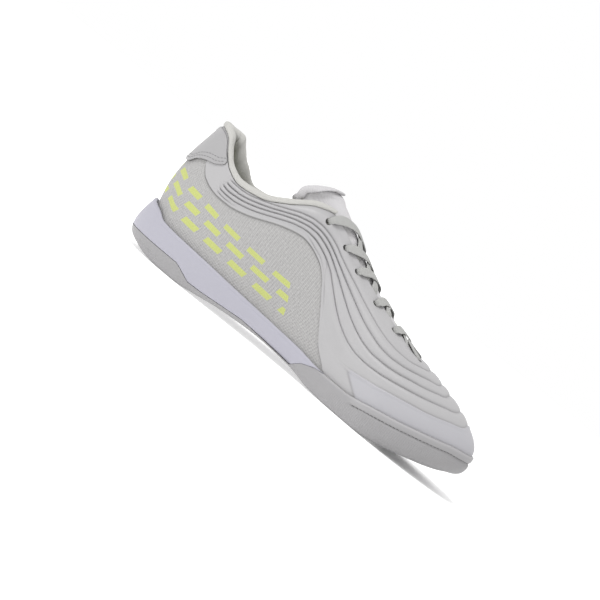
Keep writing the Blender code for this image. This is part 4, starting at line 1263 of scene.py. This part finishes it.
def tongue_top_section(row):
    """Points across the free top of the tongue, bent round the ankle."""
    q = np.linspace(1, -1, 6 + FILL_STEPS - 1)
    swing = q * math.pi / 2 * 0.95
    return np.stack([
        (row.x - 0.5 - row.back * (1 - np.cos(swing))) * SHOE_LENGTH,
        row.half * BALL_WIDTH * np.sin(swing) + Y_SHIFT,
        row.z * TONGUE_HEIGHT - row.down * COLLAR_HEIGHT * (1 - np.cos(swing)) ** TONGUE_ROUND,
    ], axis=-1)


def dense(grid, steps, axis):
    """A smooth curve through the points of a grid along one axis."""
    grid = np.moveaxis(grid, axis, 0)
    keys = np.linspace(0, len(grid) - 1, (len(grid) - 1) * steps + 1)
    i = np.minimum(np.floor(keys).astype(int), len(grid) - 2)
    s = (keys - i)[:, None, None]
    padded = np.concatenate([2 * grid[:1] - grid[1:2], grid, 2 * grid[-1:] - grid[-2:-1]])
    p0, p1, p2, p3 = (padded[i + k] for k in range(4))
    return np.moveaxis(through(p0, p1, p2, p3, s), 0, axis)


def make_tongue_mesh():
    """The padded tongue, and the path of its bound edge."""
    tops = [tongue_top_section(row) for row in reversed(TONGUE_TOP)]
    throat = [tongue_section(at) for at in TONGUE_AT]
    tip = throat[-1] + np.array(TIP_REACH)
    sections = np.array(tops + throat + [tip])
    grid = dense(dense(sections, TONGUE_STEPS, 1), TONGUE_STEPS, 0)
    du = np.gradient(grid, axis=0)
    dv = np.gradient(grid, axis=1)
    normal = unit(np.cross(dv, du))
    if normal[len(normal) // 2, normal.shape[1] // 2, 2] < 0:
        normal = -normal
    fade = edge_fade(*grid.shape[:2], TONGUE_EDGE, TONGUE_EDGE)[..., None]
    middle = grid - normal * TONGUE_THICKNESS / 2
    high = middle + normal * TONGUE_THICKNESS / 2 * fade
    low = middle - normal * TONGUE_THICKNESS / 2 * fade
    uvs = np.zeros((*grid.shape[:2], 2))
    uvs[..., 0] = grid[..., 1]
    uvs[..., 1] = grid[..., 0]
    edge = np.concatenate([sections[2:0:-1, 0], sections[0], sections[1:3, -1]])
    return pillow("tongue_pad", low, high, uvs), edge


def make_tongue_binding(edge):
    """The soft bound edge along the top and the upper sides of the tongue."""
    path = dense(edge[:, None, :], BINDING_STEPS, 0)[:, 0]
    run = unit(np.gradient(path, axis=0))
    ahead = np.array([1.0, 0.0, 0.3])
    ahead = unit(ahead - run * (run @ ahead)[:, None])
    side = np.cross(run, ahead)
    centre = path + ahead * BINDING_REACH
    from_end = np.minimum(np.arange(len(path)), np.arange(len(path))[::-1]) / BINDING_STEPS
    radius = BINDING_RADIUS * np.sqrt(np.clip(from_end, 0.04, 1.0))
    turns = np.linspace(0, 2 * math.pi, TURNS, endpoint=False)
    long_way = ahead[:, None] * (BINDING_LONG * np.cos(turns))[None, :, None]
    flat_way = side[:, None] * (BINDING_FLAT * np.sin(turns))[None, :, None]
    sections = centre[:, None] + (long_way + flat_way) * radius[:, None, None]
    return make_band("tongue_binding", sections)


# Laces

LACE_WIDTH = 6.8 * MM
LACE_THICKNESS = 1.1 * MM
LACE_SWING = 0.45
LACE_LEAD = [1.65, 1.75, 1.0, 1.0, 0.95]
LACE_POINTS = 60
LACE_DIVE = 2.0 * MM
HIDDEN_DEPTH = 1.6 * MM
HIDDEN_SHARE = 0.93
LEAVING = (-0.02, 0.06)
ARRIVING = (0.90, 1.0)
HIDING = (0.66, 0.88)
OVER_LEVEL = 1.15 * MM
UNDER_LEVEL = -0.1 * MM
BAR_LEVEL = 0.2 * MM
ACROSS_STEP = 0.02
SIDE_SHARPNESS = 0.45
FACE_SHARPNESS = 0.75
PINCH_STEPS = 7
PINCHED = (0.60, 0.97)


def over_throat(at, share, medial):
    """Points over the throat, from one side's eyelets at share 0 to the other side's at 1."""
    at = np.asarray(at, float)
    angle = np.arccos(1.0 - 2.0 * at)
    start_phi = 2 * math.pi - angle if medial else angle
    end_phi = 2 * math.pi - start_phi
    one = np.ones((len(at), 1))
    start, end = wall_points(start_phi, one)[:, 0], wall_points(end_phi, one)[:, 0]
    start_run = unit(start - wall_points(start_phi, 0.98 * one)[:, 0])
    end_run = unit(end - wall_points(end_phi, 0.98 * one)[:, 0])
    width = np.linalg.norm(end - start, axis=1)
    setback = eyelet_setback(at)
    edge = setback / (2 * setback + width)
    reach = (CROWN_REACH * width)[:, None]
    across = np.clip((share - edge) / (1 - 2 * edge), 0, 1)[:, None]
    middle = on_curve((start, start + start_run * reach, end + end_run * reach, end), across)
    near_v = edge_shares(start_phi, setback * np.clip(1 - share / edge, 0, 1))
    far_v = edge_shares(end_phi, setback * np.clip(1 - (1 - share) / edge, 0, 1))
    near = wall_points(start_phi, near_v[:, None])[:, 0]
    far = wall_points(end_phi, far_v[:, None])[:, 0]
    share = share[:, None]
    edge = edge[:, None]
    return np.where(share < edge, near, np.where(share > 1 - edge, far, middle))


def lace_route(start_at, end_at, medial, level, full=False):
    """Points and normals of one strip: out of its eyelet, over the throat, under the other edge,
    or into the eyelet there where it is full."""
    share = np.linspace(0.0, 1.0 if full else HIDDEN_SHARE, LACE_POINTS)
    at = start_at + (end_at - start_at) * (share + LACE_SWING * share * (1 - share))
    point = over_throat(at, share, medial)
    across = (over_throat(at, np.minimum(share + ACROSS_STEP, 1.0), medial)
              - over_throat(at, np.maximum(share - ACROSS_STEP, 0.0), medial))
    ahead = (over_throat(at + ACROSS_STEP / 2, share, medial)
             - over_throat(at - ACROSS_STEP / 2, share, medial))
    normal = unit(np.cross(across, ahead))
    normal = normal * np.where(normal[:, 2:] < 0, -1.0, 1.0)
    leave = blend(*LEAVING, share)
    arrive = 1.0 - blend(*(ARRIVING if full else HIDING), share)
    lift = GAP + LACE_THICKNESS / 2
    arch = level * np.sin(math.pi * share) if full else 0.0
    deep = LACE_DIVE if full else WALL + HIDDEN_DEPTH
    rise = lift + (level + arch) * leave * arrive
    rise = rise - LACE_DIVE * (1 - leave) - deep * (1 - arrive)
    return point + normal * rise[:, None], normal


def make_lace_strip(name, route):
    """One flat strip of lace along its route, with its woven pattern's own surface."""
    path, facing = route
    run = unit(np.gradient(path, axis=0))
    across = unit(np.cross(run, facing))
    facing = np.cross(across, run)
    turns = np.linspace(0, 2 * math.pi, TURNS, endpoint=False)
    wide = np.sign(np.cos(turns)) * np.abs(np.cos(turns)) ** SIDE_SHARPNESS * LACE_WIDTH / 2
    tall = np.sign(np.sin(turns)) * np.abs(np.sin(turns)) ** FACE_SHARPNESS * LACE_THICKNESS / 2
    pinch = np.ones(len(path))
    pinch[:PINCH_STEPS] = np.linspace(*PINCHED, PINCH_STEPS)
    sections = (path[:, None] + across[:, None] * (wide[None, :, None] * pinch[:, None, None])
                + facing[:, None] * tall[None, :, None])
    strip = make_band(name, sections)
    layer = strip.data.uv_layers["surface"]
    corners = np.empty(len(strip.data.loops), np.int32)
    strip.data.loops.foreach_get("vertex_index", corners)
    uvs = np.stack([np.repeat(run_along(path), len(turns)), np.tile(wide, len(path))], axis=1)
    layer.data.foreach_set("uv", uvs[corners].astype(np.float32).ravel())
    return strip


# Sole

SIDE_STEPS = 9
FOOT_ROUNDNESS = 1.15
SIDE_LEAN = 0.6
SIDE_BEND = 1.6
SIDE_TOP = 1.3
LIP_GROWTH = (0.60, 0.69)
GROOVE_START = (0.685, 0.70)
RIM_SHARE = 0.8


def sole_profile(phi):
    """The outside of the sole in each column, from its bottom edge up to the rim's top edge."""
    run = table(SOLE, "run", phi) * RIM_THICKNESS
    bottom, rise, bite = (sole_height(column, phi) for column in ("bottom", "rise", "bite"))
    rim = rim_inset(phi)
    groove = GROOVE_DEPTH * blend(*GROOVE_START, along(phi))
    insets, heights = [], []
    for s in np.linspace(0, 1, SIDE_STEPS)[:-1]:
        angle = s * math.pi / 2
        insets.append(run * (1 - math.sin(angle)) ** FOOT_ROUNDNESS)
        heights.append(bottom + rise * (1 - math.cos(angle)))
    lip = LIP_HEIGHT * (1.0 + blend(*LIP_GROWTH, along(phi)))
    top_of_side = bite - SIDE_TOP * lip
    for s in np.linspace(0, 1, SIDE_STEPS):
        insets.append(SIDE_LEAN * rim * s ** SIDE_BEND)
        heights.append(bottom + rise + (top_of_side - bottom - rise) * s)
    for point in LIP:
        insets.append(point.inset * rim + point.dip * groove)
        heights.append(bite - point.below * lip)
    for point in RIM_EDGE:
        insets.append(RIM_SHARE * rim + point.inset)
        heights.append(bite - point.below)
    return np.stack(insets, 1), np.stack(heights, 1)


SOLE_COLUMNS = 800
OUTER_ROWS = 30
RUNGS = 36
HALF_TOOTH = 1.25
TOOTH_DEPTH = 0.5 * MM
TOOTH_SHARE = 0.80
TEETH_START = (0.55, 0.62)
TEETH_END = (1.0, 0.97)
RIBBED_ROWS = (7, 20)
RIBBED_TOE = (0.62, 0.66)
RIBBED_HEEL = (0.10, 0.14)
# Painted highlight along the rim just under the bite line, and a lighter band over the front lip.
RIM_LINE = 0.9 * MM
RIM_LINE_WIDTH = 0.6 * MM
RIM_LINE_START = (0.56, 0.60)
RIM_HIGHLIGHT_STRENGTH = 0.65
LIP_STRENGTH = 0.35
RIM_ROUND = 0.4 * MM
RIM_DROP = 0.3 * MM
FLOOR_SLOPE = 3.0 * MM
RUBBER_CLEARANCE = 0.15 * MM
FOAM_EDGE = 0.2 * MM


def cut_profile(insets, heights, low, high):
    """The part of each column's profile between two heights, in even rows."""
    made_insets = np.empty((len(insets), OUTER_ROWS))
    made_heights = np.empty((len(insets), OUTER_ROWS))
    for i in range(len(insets)):
        run = run_along(np.stack([insets[i], heights[i]], axis=1))
        start = np.interp(low[i], heights[i], run)
        end = np.interp(high[i], heights[i], run)
        at = np.linspace(start, end, OUTER_ROWS)
        made_insets[i] = np.interp(at, run, insets[i])
        made_heights[i] = np.interp(at, run, heights[i])
    return made_insets, made_heights


def loft_columns(name, phi, insets, heights, marks=None):
    """A closed body whose columns run from under its middle round the outside to its inside."""
    columns, rows = insets.shape
    grid_phi = np.repeat(phi[:, None], rows, axis=1)
    points = sole_point(grid_phi, insets, heights)
    faces = grid_faces(columns, rows)
    uvs = np.zeros((columns, rows, 2))
    uvs[..., 0] = run_round(phi)[0][:, None]
    uvs[..., 1] = heights
    half = columns // 2
    extra, extra_uv = [], []
    for row, flip in ((0, False), (rows - 1, True)):
        base = columns * rows + len(extra)
        ids = {}
        for i in range(1, half):
            j = columns - i
            a, b = points[i, row], points[j, row]
            ids[i] = [i * rows + row]
            for k in range(1, RUNGS):
                share = k / RUNGS
                extra.append(a * (1 - share) + b * share)
                extra_uv.append((0.0, 0.0))
                ids[i].append(columns * rows + len(extra) - 1)
            ids[i].append(j * rows + row)
        for i in range(1, half - 1):
            for k in range(RUNGS):
                face = (ids[i][k], ids[i + 1][k], ids[i + 1][k + 1], ids[i][k + 1])
                faces.append(tuple(reversed(face)) if flip else face)
        for end, first in ((0, 1), (half, half - 1)):
            for k in range(RUNGS):
                face = (end * rows + row, ids[first][k], ids[first][k + 1])
                faces.append(face if (end == 0) != flip else tuple(reversed(face)))
    all_points = np.concatenate([points.reshape(-1, 3), np.array(extra)])
    all_uvs = np.concatenate([uvs.reshape(-1, 2), np.array(extra_uv)])
    all_marks = {}
    for mark, values in (marks or {}).items():
        all_marks[mark] = np.concatenate([values.ravel(), np.zeros(len(extra))])
    obj = new_mesh(name, all_points, faces, all_uvs, all_marks)
    seal_outward(obj)
    return obj


def make_outsole_mesh():
    """The rubber cup, from its toothed bottom edge to its rim, and its inside under the foam."""
    phi = even_angles(SOLE_COLUMNS)
    insets, heights = sole_profile(phi)
    bite = sole_height("bite", phi)
    split = np.minimum(split_height(phi), bite)
    teeth = np.where(np.sin(np.arange(SOLE_COLUMNS) * math.pi / HALF_TOOTH) > 0, 1.0, 0.0)
    teeth = teeth * blend(*TEETH_START, along(phi)) * blend(*TEETH_END, along(phi))
    edge_insets, edge_heights = cut_profile(insets, heights, heights[:, 0], split)
    low_rows = np.linspace(1, 0, OUTER_ROWS)[None, :] > TOOTH_SHARE
    edge_insets = edge_insets + low_rows * (teeth * TOOTH_DEPTH)[:, None]
    full = split_height(phi) > bite
    rim_inner = rim_inset(phi) + RIM_THICKNESS
    floor = np.minimum(split, sole_height("bottom", phi) + OUTSOLE_THICKNESS)
    bed = sole_height("bed", phi)
    step_inset = np.where(full, rim_inner, SIDE_WALL * 0.4)
    step_height = np.where(full, bed, split)
    inner = [
        (np.where(full, rim_inner - RIM_ROUND, 0.2 * SIDE_WALL), split),
        (step_inset, np.where(full, bite - RIM_DROP, split)),
        (np.where(full, rim_inner, 0.7 * SIDE_WALL), step_height),
        (np.full_like(phi, SIDE_WALL), step_height),
        (np.full_like(phi, SIDE_WALL + FLOOR_SLOPE), floor),
    ]
    all_insets = np.concatenate([edge_insets] + [inset[:, None] for inset, height in inner], axis=1)
    all_heights = np.concatenate([edge_heights] + [height[:, None] for inset, height in inner], axis=1)
    ribbed = np.zeros_like(all_insets)
    ribbed_ends = blend(*RIBBED_TOE, along(phi)) + 1 - blend(*RIBBED_HEEL, along(phi))
    ribbed[:, slice(*RIBBED_ROWS)] = ribbed_ends[:, None]
    # The rim mark: a painted highlight just under the bite line, and a lighter band over the front lip.
    below = bite[:, None] - all_heights
    rim_highlight = np.exp(-((below - RIM_LINE) / RIM_LINE_WIDTH) ** 2)
    rim_highlight = rim_highlight * blend(*RIM_LINE_START, along(phi))[:, None]
    lip = (below < 2.0 * LIP_HEIGHT) * blend(*GROOVE_START, along(phi))[:, None]
    rim = RIM_HIGHLIGHT_STRENGTH * rim_highlight + LIP_STRENGTH * lip
    return loft_columns("outsole_rubber", phi, all_insets, all_heights, {"ribbed": ribbed, "rim": rim})


def make_midsole_mesh():
    """The foam wedge: outside it runs from the rubber up to the bite line, and the rubber hides
    its front."""
    phi = even_angles(SOLE_COLUMNS)
    insets, heights = sole_profile(phi)
    bite = sole_height("bite", phi)
    full = split_height(phi) > bite - FOAM_EDGE
    low = np.minimum(split_height(phi) + GAP, bite - FOAM_EDGE)
    edge_insets, edge_heights = cut_profile(insets, heights, low, bite)
    bed = sole_height("bed", phi)
    floor = np.minimum(split_height(phi), sole_height("bottom", phi) + OUTSOLE_THICKNESS)
    rim_inner = rim_inset(phi) + RIM_THICKNESS
    inside = SIDE_WALL + GAP
    edge_insets = np.where(full[:, None], inside, edge_insets + RUBBER_CLEARANCE)
    climb = np.linspace(0, 1, OUTER_ROWS)[None, :] * (bed - 0.6 * MM - floor)[:, None]
    hidden = climb + floor[:, None] + FOAM_EDGE
    edge_heights = np.where(full[:, None], hidden, edge_heights)
    before = [
        (np.full_like(phi, inside + FLOOR_SLOPE), floor + 0.1 * MM),
        (np.full_like(phi, inside), np.where(full, floor + 0.15 * MM, split_height(phi) + GAP)),
    ]
    after = [
        (np.where(full, inside + 0.3 * MM, rim_inner - RIM_ROUND), np.where(full, bed - 0.3 * MM, bite)),
        (np.where(full, inside + 0.6 * MM, rim_inner), np.where(full, bed - 0.1 * MM, bite - RIM_DROP)),
        (np.where(full, inside + 1.0 * MM, rim_inner), bed),
    ]
    all_insets = np.concatenate([i[:, None] for i, h in before] + [edge_insets]
                                + [i[:, None] for i, h in after], axis=1)
    all_heights = np.concatenate([h[:, None] for i, h in before] + [edge_heights]
                                 + [h[:, None] for i, h in after], axis=1)
    return loft_columns("midsole_foam", phi, all_insets, all_heights)


def make_insole_mesh():
    """The footbed: a flat sheet on the lasting margin, rounded at its upper edge."""
    phi = even_angles(300)
    bed = sole_height("bed", phi)
    base = wall_base(phi)
    step = MARGIN + GAP
    shelf = GAP + WALL + GAP
    side = WALL + 5 * GAP
    rows = [
        (step, GAP),
        (step, shelf),
        (side + 0.8 * MM, shelf),
        (side, shelf + 1.0 * MM),
        (side, shelf + 2.6 * MM),
        (side + 0.3 * MM, shelf + 3.2 * MM),
        (side + 1.0 * MM, shelf + 3.5 * MM),
    ]
    insets = np.stack([base + inset for inset, lift in rows], axis=1)
    heights = np.stack([bed + lift for inset, lift in rows], axis=1)
    return loft_columns("insole_bed", phi, insets, heights)


# Stitches

STITCH_PITCH = 1.45
GROOVE_STITCH_START = 0.70
GROOVE_STITCH_INSET = 0.7
GROOVE_STITCH_DEPTH = 0.75
GROOVE_STITCH_DROP = 2.06
TAB_STITCH_END = 0.012


def stitch_row(name, points, normals, length, width):
    """A row of short stitches, copied from one along a line and joined."""
    bpy.ops.mesh.primitive_cylinder_add(vertices=6, radius=width / 2, depth=length)
    first = bpy.context.object
    bevel = first.modifiers.new("Ends", "BEVEL")
    bevel.width = width * 0.3
    bevel.segments = 1
    apply_modifiers(first)
    shape = np.array([vert.co for vert in first.data.vertices])
    faces = [tuple(face.vertices) for face in first.data.polygons]
    bpy.data.objects.remove(first)
    run = run_along(points)
    count = int(run[-1] / (length * STITCH_PITCH))
    verts, all_faces = [], []
    for i in range(count):
        at = (i + 0.5) * run[-1] / count
        here = np.array([np.interp(at, run, points[:, axis]) for axis in range(3)])
        ahead = np.array([np.interp(at + 0.4 * length, run, points[:, axis]) for axis in range(3)])
        up = unit(np.array([np.interp(at, run, normals[:, axis]) for axis in range(3)]))
        forward = unit(ahead - here)
        side = unit(np.cross(up, forward))
        up = np.cross(forward, side)
        turn = np.stack([side, up, forward], axis=1)
        base = len(verts)
        verts += list(shape @ turn.T + here)
        all_faces += [tuple(base + k for k in face) for face in faces]
    return new_mesh(name, np.array(verts), all_faces)


def groove_stitches():
    """The dark stitches in the groove under the lip, round the front of the sole."""
    start = angle_of(GROOVE_STITCH_START)
    phi = even_angles(500, start, 2 * math.pi - start, closed=False)
    inset = GROOVE_STITCH_INSET * rim_inset(phi) + GROOVE_STITCH_DEPTH * GROOVE_DEPTH
    height = sole_height("bite", phi) - GROOVE_STITCH_DROP * LIP_HEIGHT
    points = sole_point(phi, inset, height)
    normals = np.concatenate([outward(phi), np.zeros((len(phi), 1))], axis=1)
    return stitch_row("groove_stitches", points, normals, 2.0 * MM, 0.6 * MM)


def tab_stitches(name, share):
    """A row of stitches along the heel tab, a share of the wall above its lower edge."""
    end = angle_of(TAB_END - TAB_STITCH_END)
    phi = np.mod(even_angles(200, -end, end, closed=False), 2 * math.pi)
    v = (tab_low(phi) + share)[:, None]
    points = off_wall(phi, v, GAP + TAB_THICKNESS)[:, 0]
    return stitch_row(name, points, wall_normals(phi, v)[:, 0], 1.7 * MM, 0.45 * MM)


# Settings, operators and panel

def colour(name, description, default):
    """A colour that the user can change."""
    return bpy.props.FloatVectorProperty(
        name=name, description=description, subtype="COLOR", default=default, min=0.0, max=1.0)


class ShoeSettings(bpy.types.PropertyGroup):
    """The colours, sizes and camera that a user would change"""
    skin: colour("Skin", "Colour of the smooth upper", (0.345, 0.34, 0.345))
    # Crease is a painted shade colour for the creases between the ribs and the toe overlay's edges.
    crease: colour("Crease", "Colour in the creases between the ribs", (0.25, 0.245, 0.25))
    overlay: colour("Overlay", "Colour of the toe overlay", (0.35, 0.346, 0.366))
    mesh: colour("Mesh", "Colour of the mesh quarter", (0.335, 0.33, 0.327))
    dashes: colour("Dashes", "Colour of the printed dashes", (0.42, 0.46, 0.12))
    foam: colour("Foam", "Colour of the midsole", (0.33, 0.325, 0.37))
    rubber: colour("Rubber", "Colour of the outsole", (0.265, 0.26, 0.265))
    lace: colour("Lace", "Colour of the laces", (0.38, 0.38, 0.37))
    knit: colour("Knit", "Colour of the collar knit", (0.445, 0.44, 0.42))
    tongue: colour("Tongue", "Colour of the tongue", (0.53, 0.52, 0.53))
    lining: colour("Lining", "Colour of the lining", (0.74, 0.77, 0.56))
    eyelet: bpy.props.FloatProperty(
        name="Eyelet", description="Diameter of the lace holes", unit="LENGTH", subtype="DISTANCE",
        default=5.0 * MM, min=1.0 * MM)
    distance: bpy.props.FloatProperty(
        name="Camera distance", description="From the lens to the shoe", unit="LENGTH",
        subtype="DISTANCE", default=1.6, min=0.5)
    azimuth: bpy.props.FloatProperty(
        name="Azimuth", description="The camera's turn toward the toe", subtype="ANGLE",
        default=math.radians(6.0))
    elevation: bpy.props.FloatProperty(
        name="Elevation", description="The camera's height over the horizon", subtype="ANGLE",
        default=math.radians(3.4))
    roll: bpy.props.FloatProperty(
        name="Roll", description="The camera's roll, which tilts the shoe in the picture",
        subtype="ANGLE", default=math.radians(38.7))


class ShoeOperator:
    """What the shoe's operators share."""
    bl_options = {"REGISTER", "UNDO"}

    def settings(self, context):
        """The shoe's settings in the scene."""
        return context.scene.indoor_shoe


class SHOE_OT_upper(ShoeOperator, bpy.types.Operator):
    """Models the ribbed upper with its mesh quarter, lining and lace holes"""
    bl_idname = "shoe.upper"
    bl_label = "Upper"

    def execute(self, context):
        looks = self.settings(context)
        upper = make_upper_shell([
            skin_material(looks.skin, looks.crease, looks.overlay),
            mesh_material(looks.mesh, looks.dashes),
            lining_material(looks.lining),
        ])
        cut_eyelets(upper, looks.eyelet)
        place(upper, None, "upper_skin", ["upper"])
        return {"FINISHED"}


class SHOE_OT_heel_tab(ShoeOperator, bpy.types.Operator):
    """Models the tab round the back of the heel and its two rows of stitches"""
    bl_idname = "shoe.heel_tab"
    bl_label = "Heel Tab"

    def execute(self, context):
        looks = self.settings(context)
        skin = skin_material(shade(looks.skin, 0.86), looks.crease, looks.overlay)
        place(make_heel_tab_mesh(), skin, "tab_skin", ["heel_tab"])
        thread = thread_material(shade(looks.skin, 0.45))
        place(tab_stitches("tab_stitches_low", 0.035), thread, "tab_skin")
        place(tab_stitches("tab_stitches_high", 0.075), thread, "tab_skin")
        return {"FINISHED"}


class SHOE_OT_collar(ShoeOperator, bpy.types.Operator):
    """Models the padded knit roll round the collar"""
    bl_idname = "shoe.collar"
    bl_label = "Collar Roll"

    def execute(self, context):
        knit = knit_material("collar_knit", self.settings(context).knit)
        roll = place(make_collar_roll_mesh(), knit, "collar_knit", ["collar_roll"])
        return {"FINISHED"}


class SHOE_OT_tongue(ShoeOperator, bpy.types.Operator):
    """Models the padded tongue and its bound top edge"""
    bl_idname = "shoe.tongue"
    bl_label = "Tongue"

    def execute(self, context):
        looks = self.settings(context)
        pad, edge = make_tongue_mesh()
        place(pad, knit_material("tongue_cloth", looks.tongue, 0.6), "tongue_cloth", ["tongue"])
        binding_knit = knit_material("binding_knit", shade(looks.tongue, 0.90))
        place(make_tongue_binding(edge), binding_knit, "tongue_cloth")
        return {"FINISHED"}


class SHOE_OT_laces(ShoeOperator, bpy.types.Operator):
    """Runs the flat lace through the eyelets"""
    bl_idname = "shoe.laces"
    bl_label = "Laces"

    def execute(self, context):
        weave = lace_material(self.settings(context).lace)
        ends = [EYELET_AT[i] + LACE_LEAD[i] * (EYELET_AT[i + 1] - EYELET_AT[i]) for i in range(5)]
        for i, (at, end) in enumerate(zip(EYELET_AT, ends), start=1):
            over = make_lace_strip(f"lace_over_{i}", lace_route(at, end, True, OVER_LEVEL))
            place(over, weave, "lace_weave", [f"lace_crossing_{i}"])
            under = make_lace_strip(f"lace_under_{i}", lace_route(at, end, False, UNDER_LEVEL))
            place(under, weave, "lace_weave")
        last = EYELET_AT[-1]
        bar = make_lace_strip("lace_bottom_bar", lace_route(last, last, True, BAR_LEVEL, full=True))
        place(bar, weave, "lace_weave", ["lace_bar"])
        return {"FINISHED"}


class SHOE_OT_sole(ShoeOperator, bpy.types.Operator):
    """Models the rubber cup sole, the foam midsole and the stitches in the groove"""
    bl_idname = "shoe.sole"
    bl_label = "Sole"

    def execute(self, context):
        looks = self.settings(context)
        place(make_outsole_mesh(), rubber_material(looks.rubber), "sole_rubber", ["outsole"])
        place(make_midsole_mesh(), foam_material(looks.foam), "foam", ["midsole"])
        place(groove_stitches(), thread_material(shade(looks.rubber, 0.55)), "sole_rubber")
        return {"FINISHED"}


class SHOE_OT_insole(ShoeOperator, bpy.types.Operator):
    """Models the footbed inside the shoe"""
    bl_idname = "shoe.insole"
    bl_label = "Insole"

    def execute(self, context):
        cloth = knit_material("footbed_cloth", shade(self.settings(context).knit, 0.85), 0.8)
        place(make_insole_mesh(), cloth, "footbed_cloth", ["insole"])
        return {"FINISHED"}


Light = namedtuple("Light", "name place size power")
LIGHTS = [
    Light("key_light", (-0.35, -0.55, 1.5), 0.5, 13.0),
    Light("fill_light", (0.6, -1.3, 0.7), 1.0, 1.0),
]
LIGHT_AIM = (0.0, 0.0, 0.05)
SKY_STRENGTH = 1.0
FLOOR_COLOUR = (0.95, 0.95, 0.95)
FLOOR_SIZE = 8.0
PHOTO_SCALE = 1.439
PHOTO_SIZE = 600
SENSOR = 0.036
AIM = (134.1 * MM, 46.2 * MM)
NEAR_SIDE = -40.0 * MM


def add_light(light):
    """A square soft light that faces the shoe."""
    bpy.ops.object.light_add(type="AREA", location=light.place)
    lamp = bpy.context.object
    lamp.name = light.name
    lamp.data.energy = light.power
    lamp.data.size = light.size
    lamp.rotation_mode = "QUATERNION"
    lamp.rotation_quaternion = (Vector(light.place) - Vector(LIGHT_AIM)).to_track_quat("Z", "Y")


def add_floor():
    """The pale floor that the shoe stands on."""
    bpy.ops.mesh.primitive_plane_add(size=FLOOR_SIZE)
    floor = bpy.context.object
    floor.name = "studio_floor"
    floor.data.materials.append(floor_material(FLOOR_COLOUR))
    floor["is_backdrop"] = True


def light_sky(scene):
    """An even white light from all round."""
    scene.world = scene.world or bpy.data.worlds.new("studio")
    scene.world.use_nodes = True
    sky = scene.world.node_tree.nodes["Background"]
    sky.inputs["Color"].default_value = (1.0, 1.0, 1.0, 1.0)
    sky.inputs["Strength"].default_value = SKY_STRENGTH


def add_camera(looks):
    """The camera that sees the shoe as in the photograph."""
    aim = Vector((AIM[0] - SHOE_LENGTH / 2, NEAR_SIDE, AIM[1]))
    back = Vector((math.sin(looks.azimuth) * math.cos(looks.elevation),
                   -math.cos(looks.azimuth) * math.cos(looks.elevation), math.sin(looks.elevation)))
    bpy.ops.object.camera_add(location=aim + back * looks.distance)
    camera = bpy.context.object
    camera.rotation_mode = "QUATERNION"
    facing = back.to_track_quat("Z", "Y")
    camera.rotation_quaternion = facing @ Matrix.Rotation(looks.roll, 3, "Z").to_quaternion()
    seen_width = PHOTO_SIZE / PHOTO_SCALE * MM
    camera.data.sensor_width = SENSOR / MM
    camera.data.lens = SENSOR * looks.distance / seen_width / MM
    return camera


class SHOE_OT_stage(ShoeOperator, bpy.types.Operator):
    """Adds the pale floor, soft lights and the camera"""
    bl_idname = "shoe.stage"
    bl_label = "Stage"

    def execute(self, context):
        add_floor()
        light_sky(context.scene)
        for light in LIGHTS:
            add_light(light)
        context.scene.view_settings.view_transform = "Standard"
        context.scene.camera = add_camera(self.settings(context))
        return {"FINISHED"}


class SHOE_PT_panel(bpy.types.Panel):
    """Lists the shoe's pieces and settings"""
    bl_label = "Indoor Soccer Shoe"
    bl_idname = "SHOE_PT_panel"
    bl_space_type = "VIEW_3D"
    bl_region_type = "UI"
    bl_category = "Shoe"

    def draw(self, context):
        for operator in OPERATORS:
            self.layout.operator(operator.bl_idname)
        for name in ShoeSettings.__annotations__:
            self.layout.prop(context.scene.indoor_shoe, name)


OPERATORS = [SHOE_OT_sole, SHOE_OT_upper, SHOE_OT_heel_tab, SHOE_OT_insole, SHOE_OT_tongue,
             SHOE_OT_collar, SHOE_OT_laces, SHOE_OT_stage]
CLASSES = [ShoeSettings, *OPERATORS, SHOE_PT_panel]


def register():
    """Makes the operators, the panel and the settings known."""
    for cls in CLASSES:
        bpy.utils.register_class(cls)
    bpy.types.Scene.indoor_shoe = bpy.props.PointerProperty(type=ShoeSettings)


def unregister():
    """Takes them out again."""
    del bpy.types.Scene.indoor_shoe
    for cls in reversed(CLASSES):
        bpy.utils.unregister_class(cls)


def write_sizes():
    """Works out the boxes of the solids and of the finished pieces, without keeping them."""
    boxes = {"cad": CAD_BOX, "visual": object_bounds()}
    {name: [list(low), list(high)] for name, (low, high) in boxes.items()}


def main():
    """Models the whole shoe and its stage."""
    register()
    deselect_all()
    bpy.ops.shoe.sole()
    bpy.ops.shoe.upper()
    bpy.ops.shoe.heel_tab()
    bpy.ops.shoe.insole()
    bpy.ops.shoe.tongue()
    bpy.ops.shoe.collar()
    bpy.ops.shoe.laces()
    bpy.ops.shoe.stage()
    write_sizes()


if __name__ == "__main__":
    main()
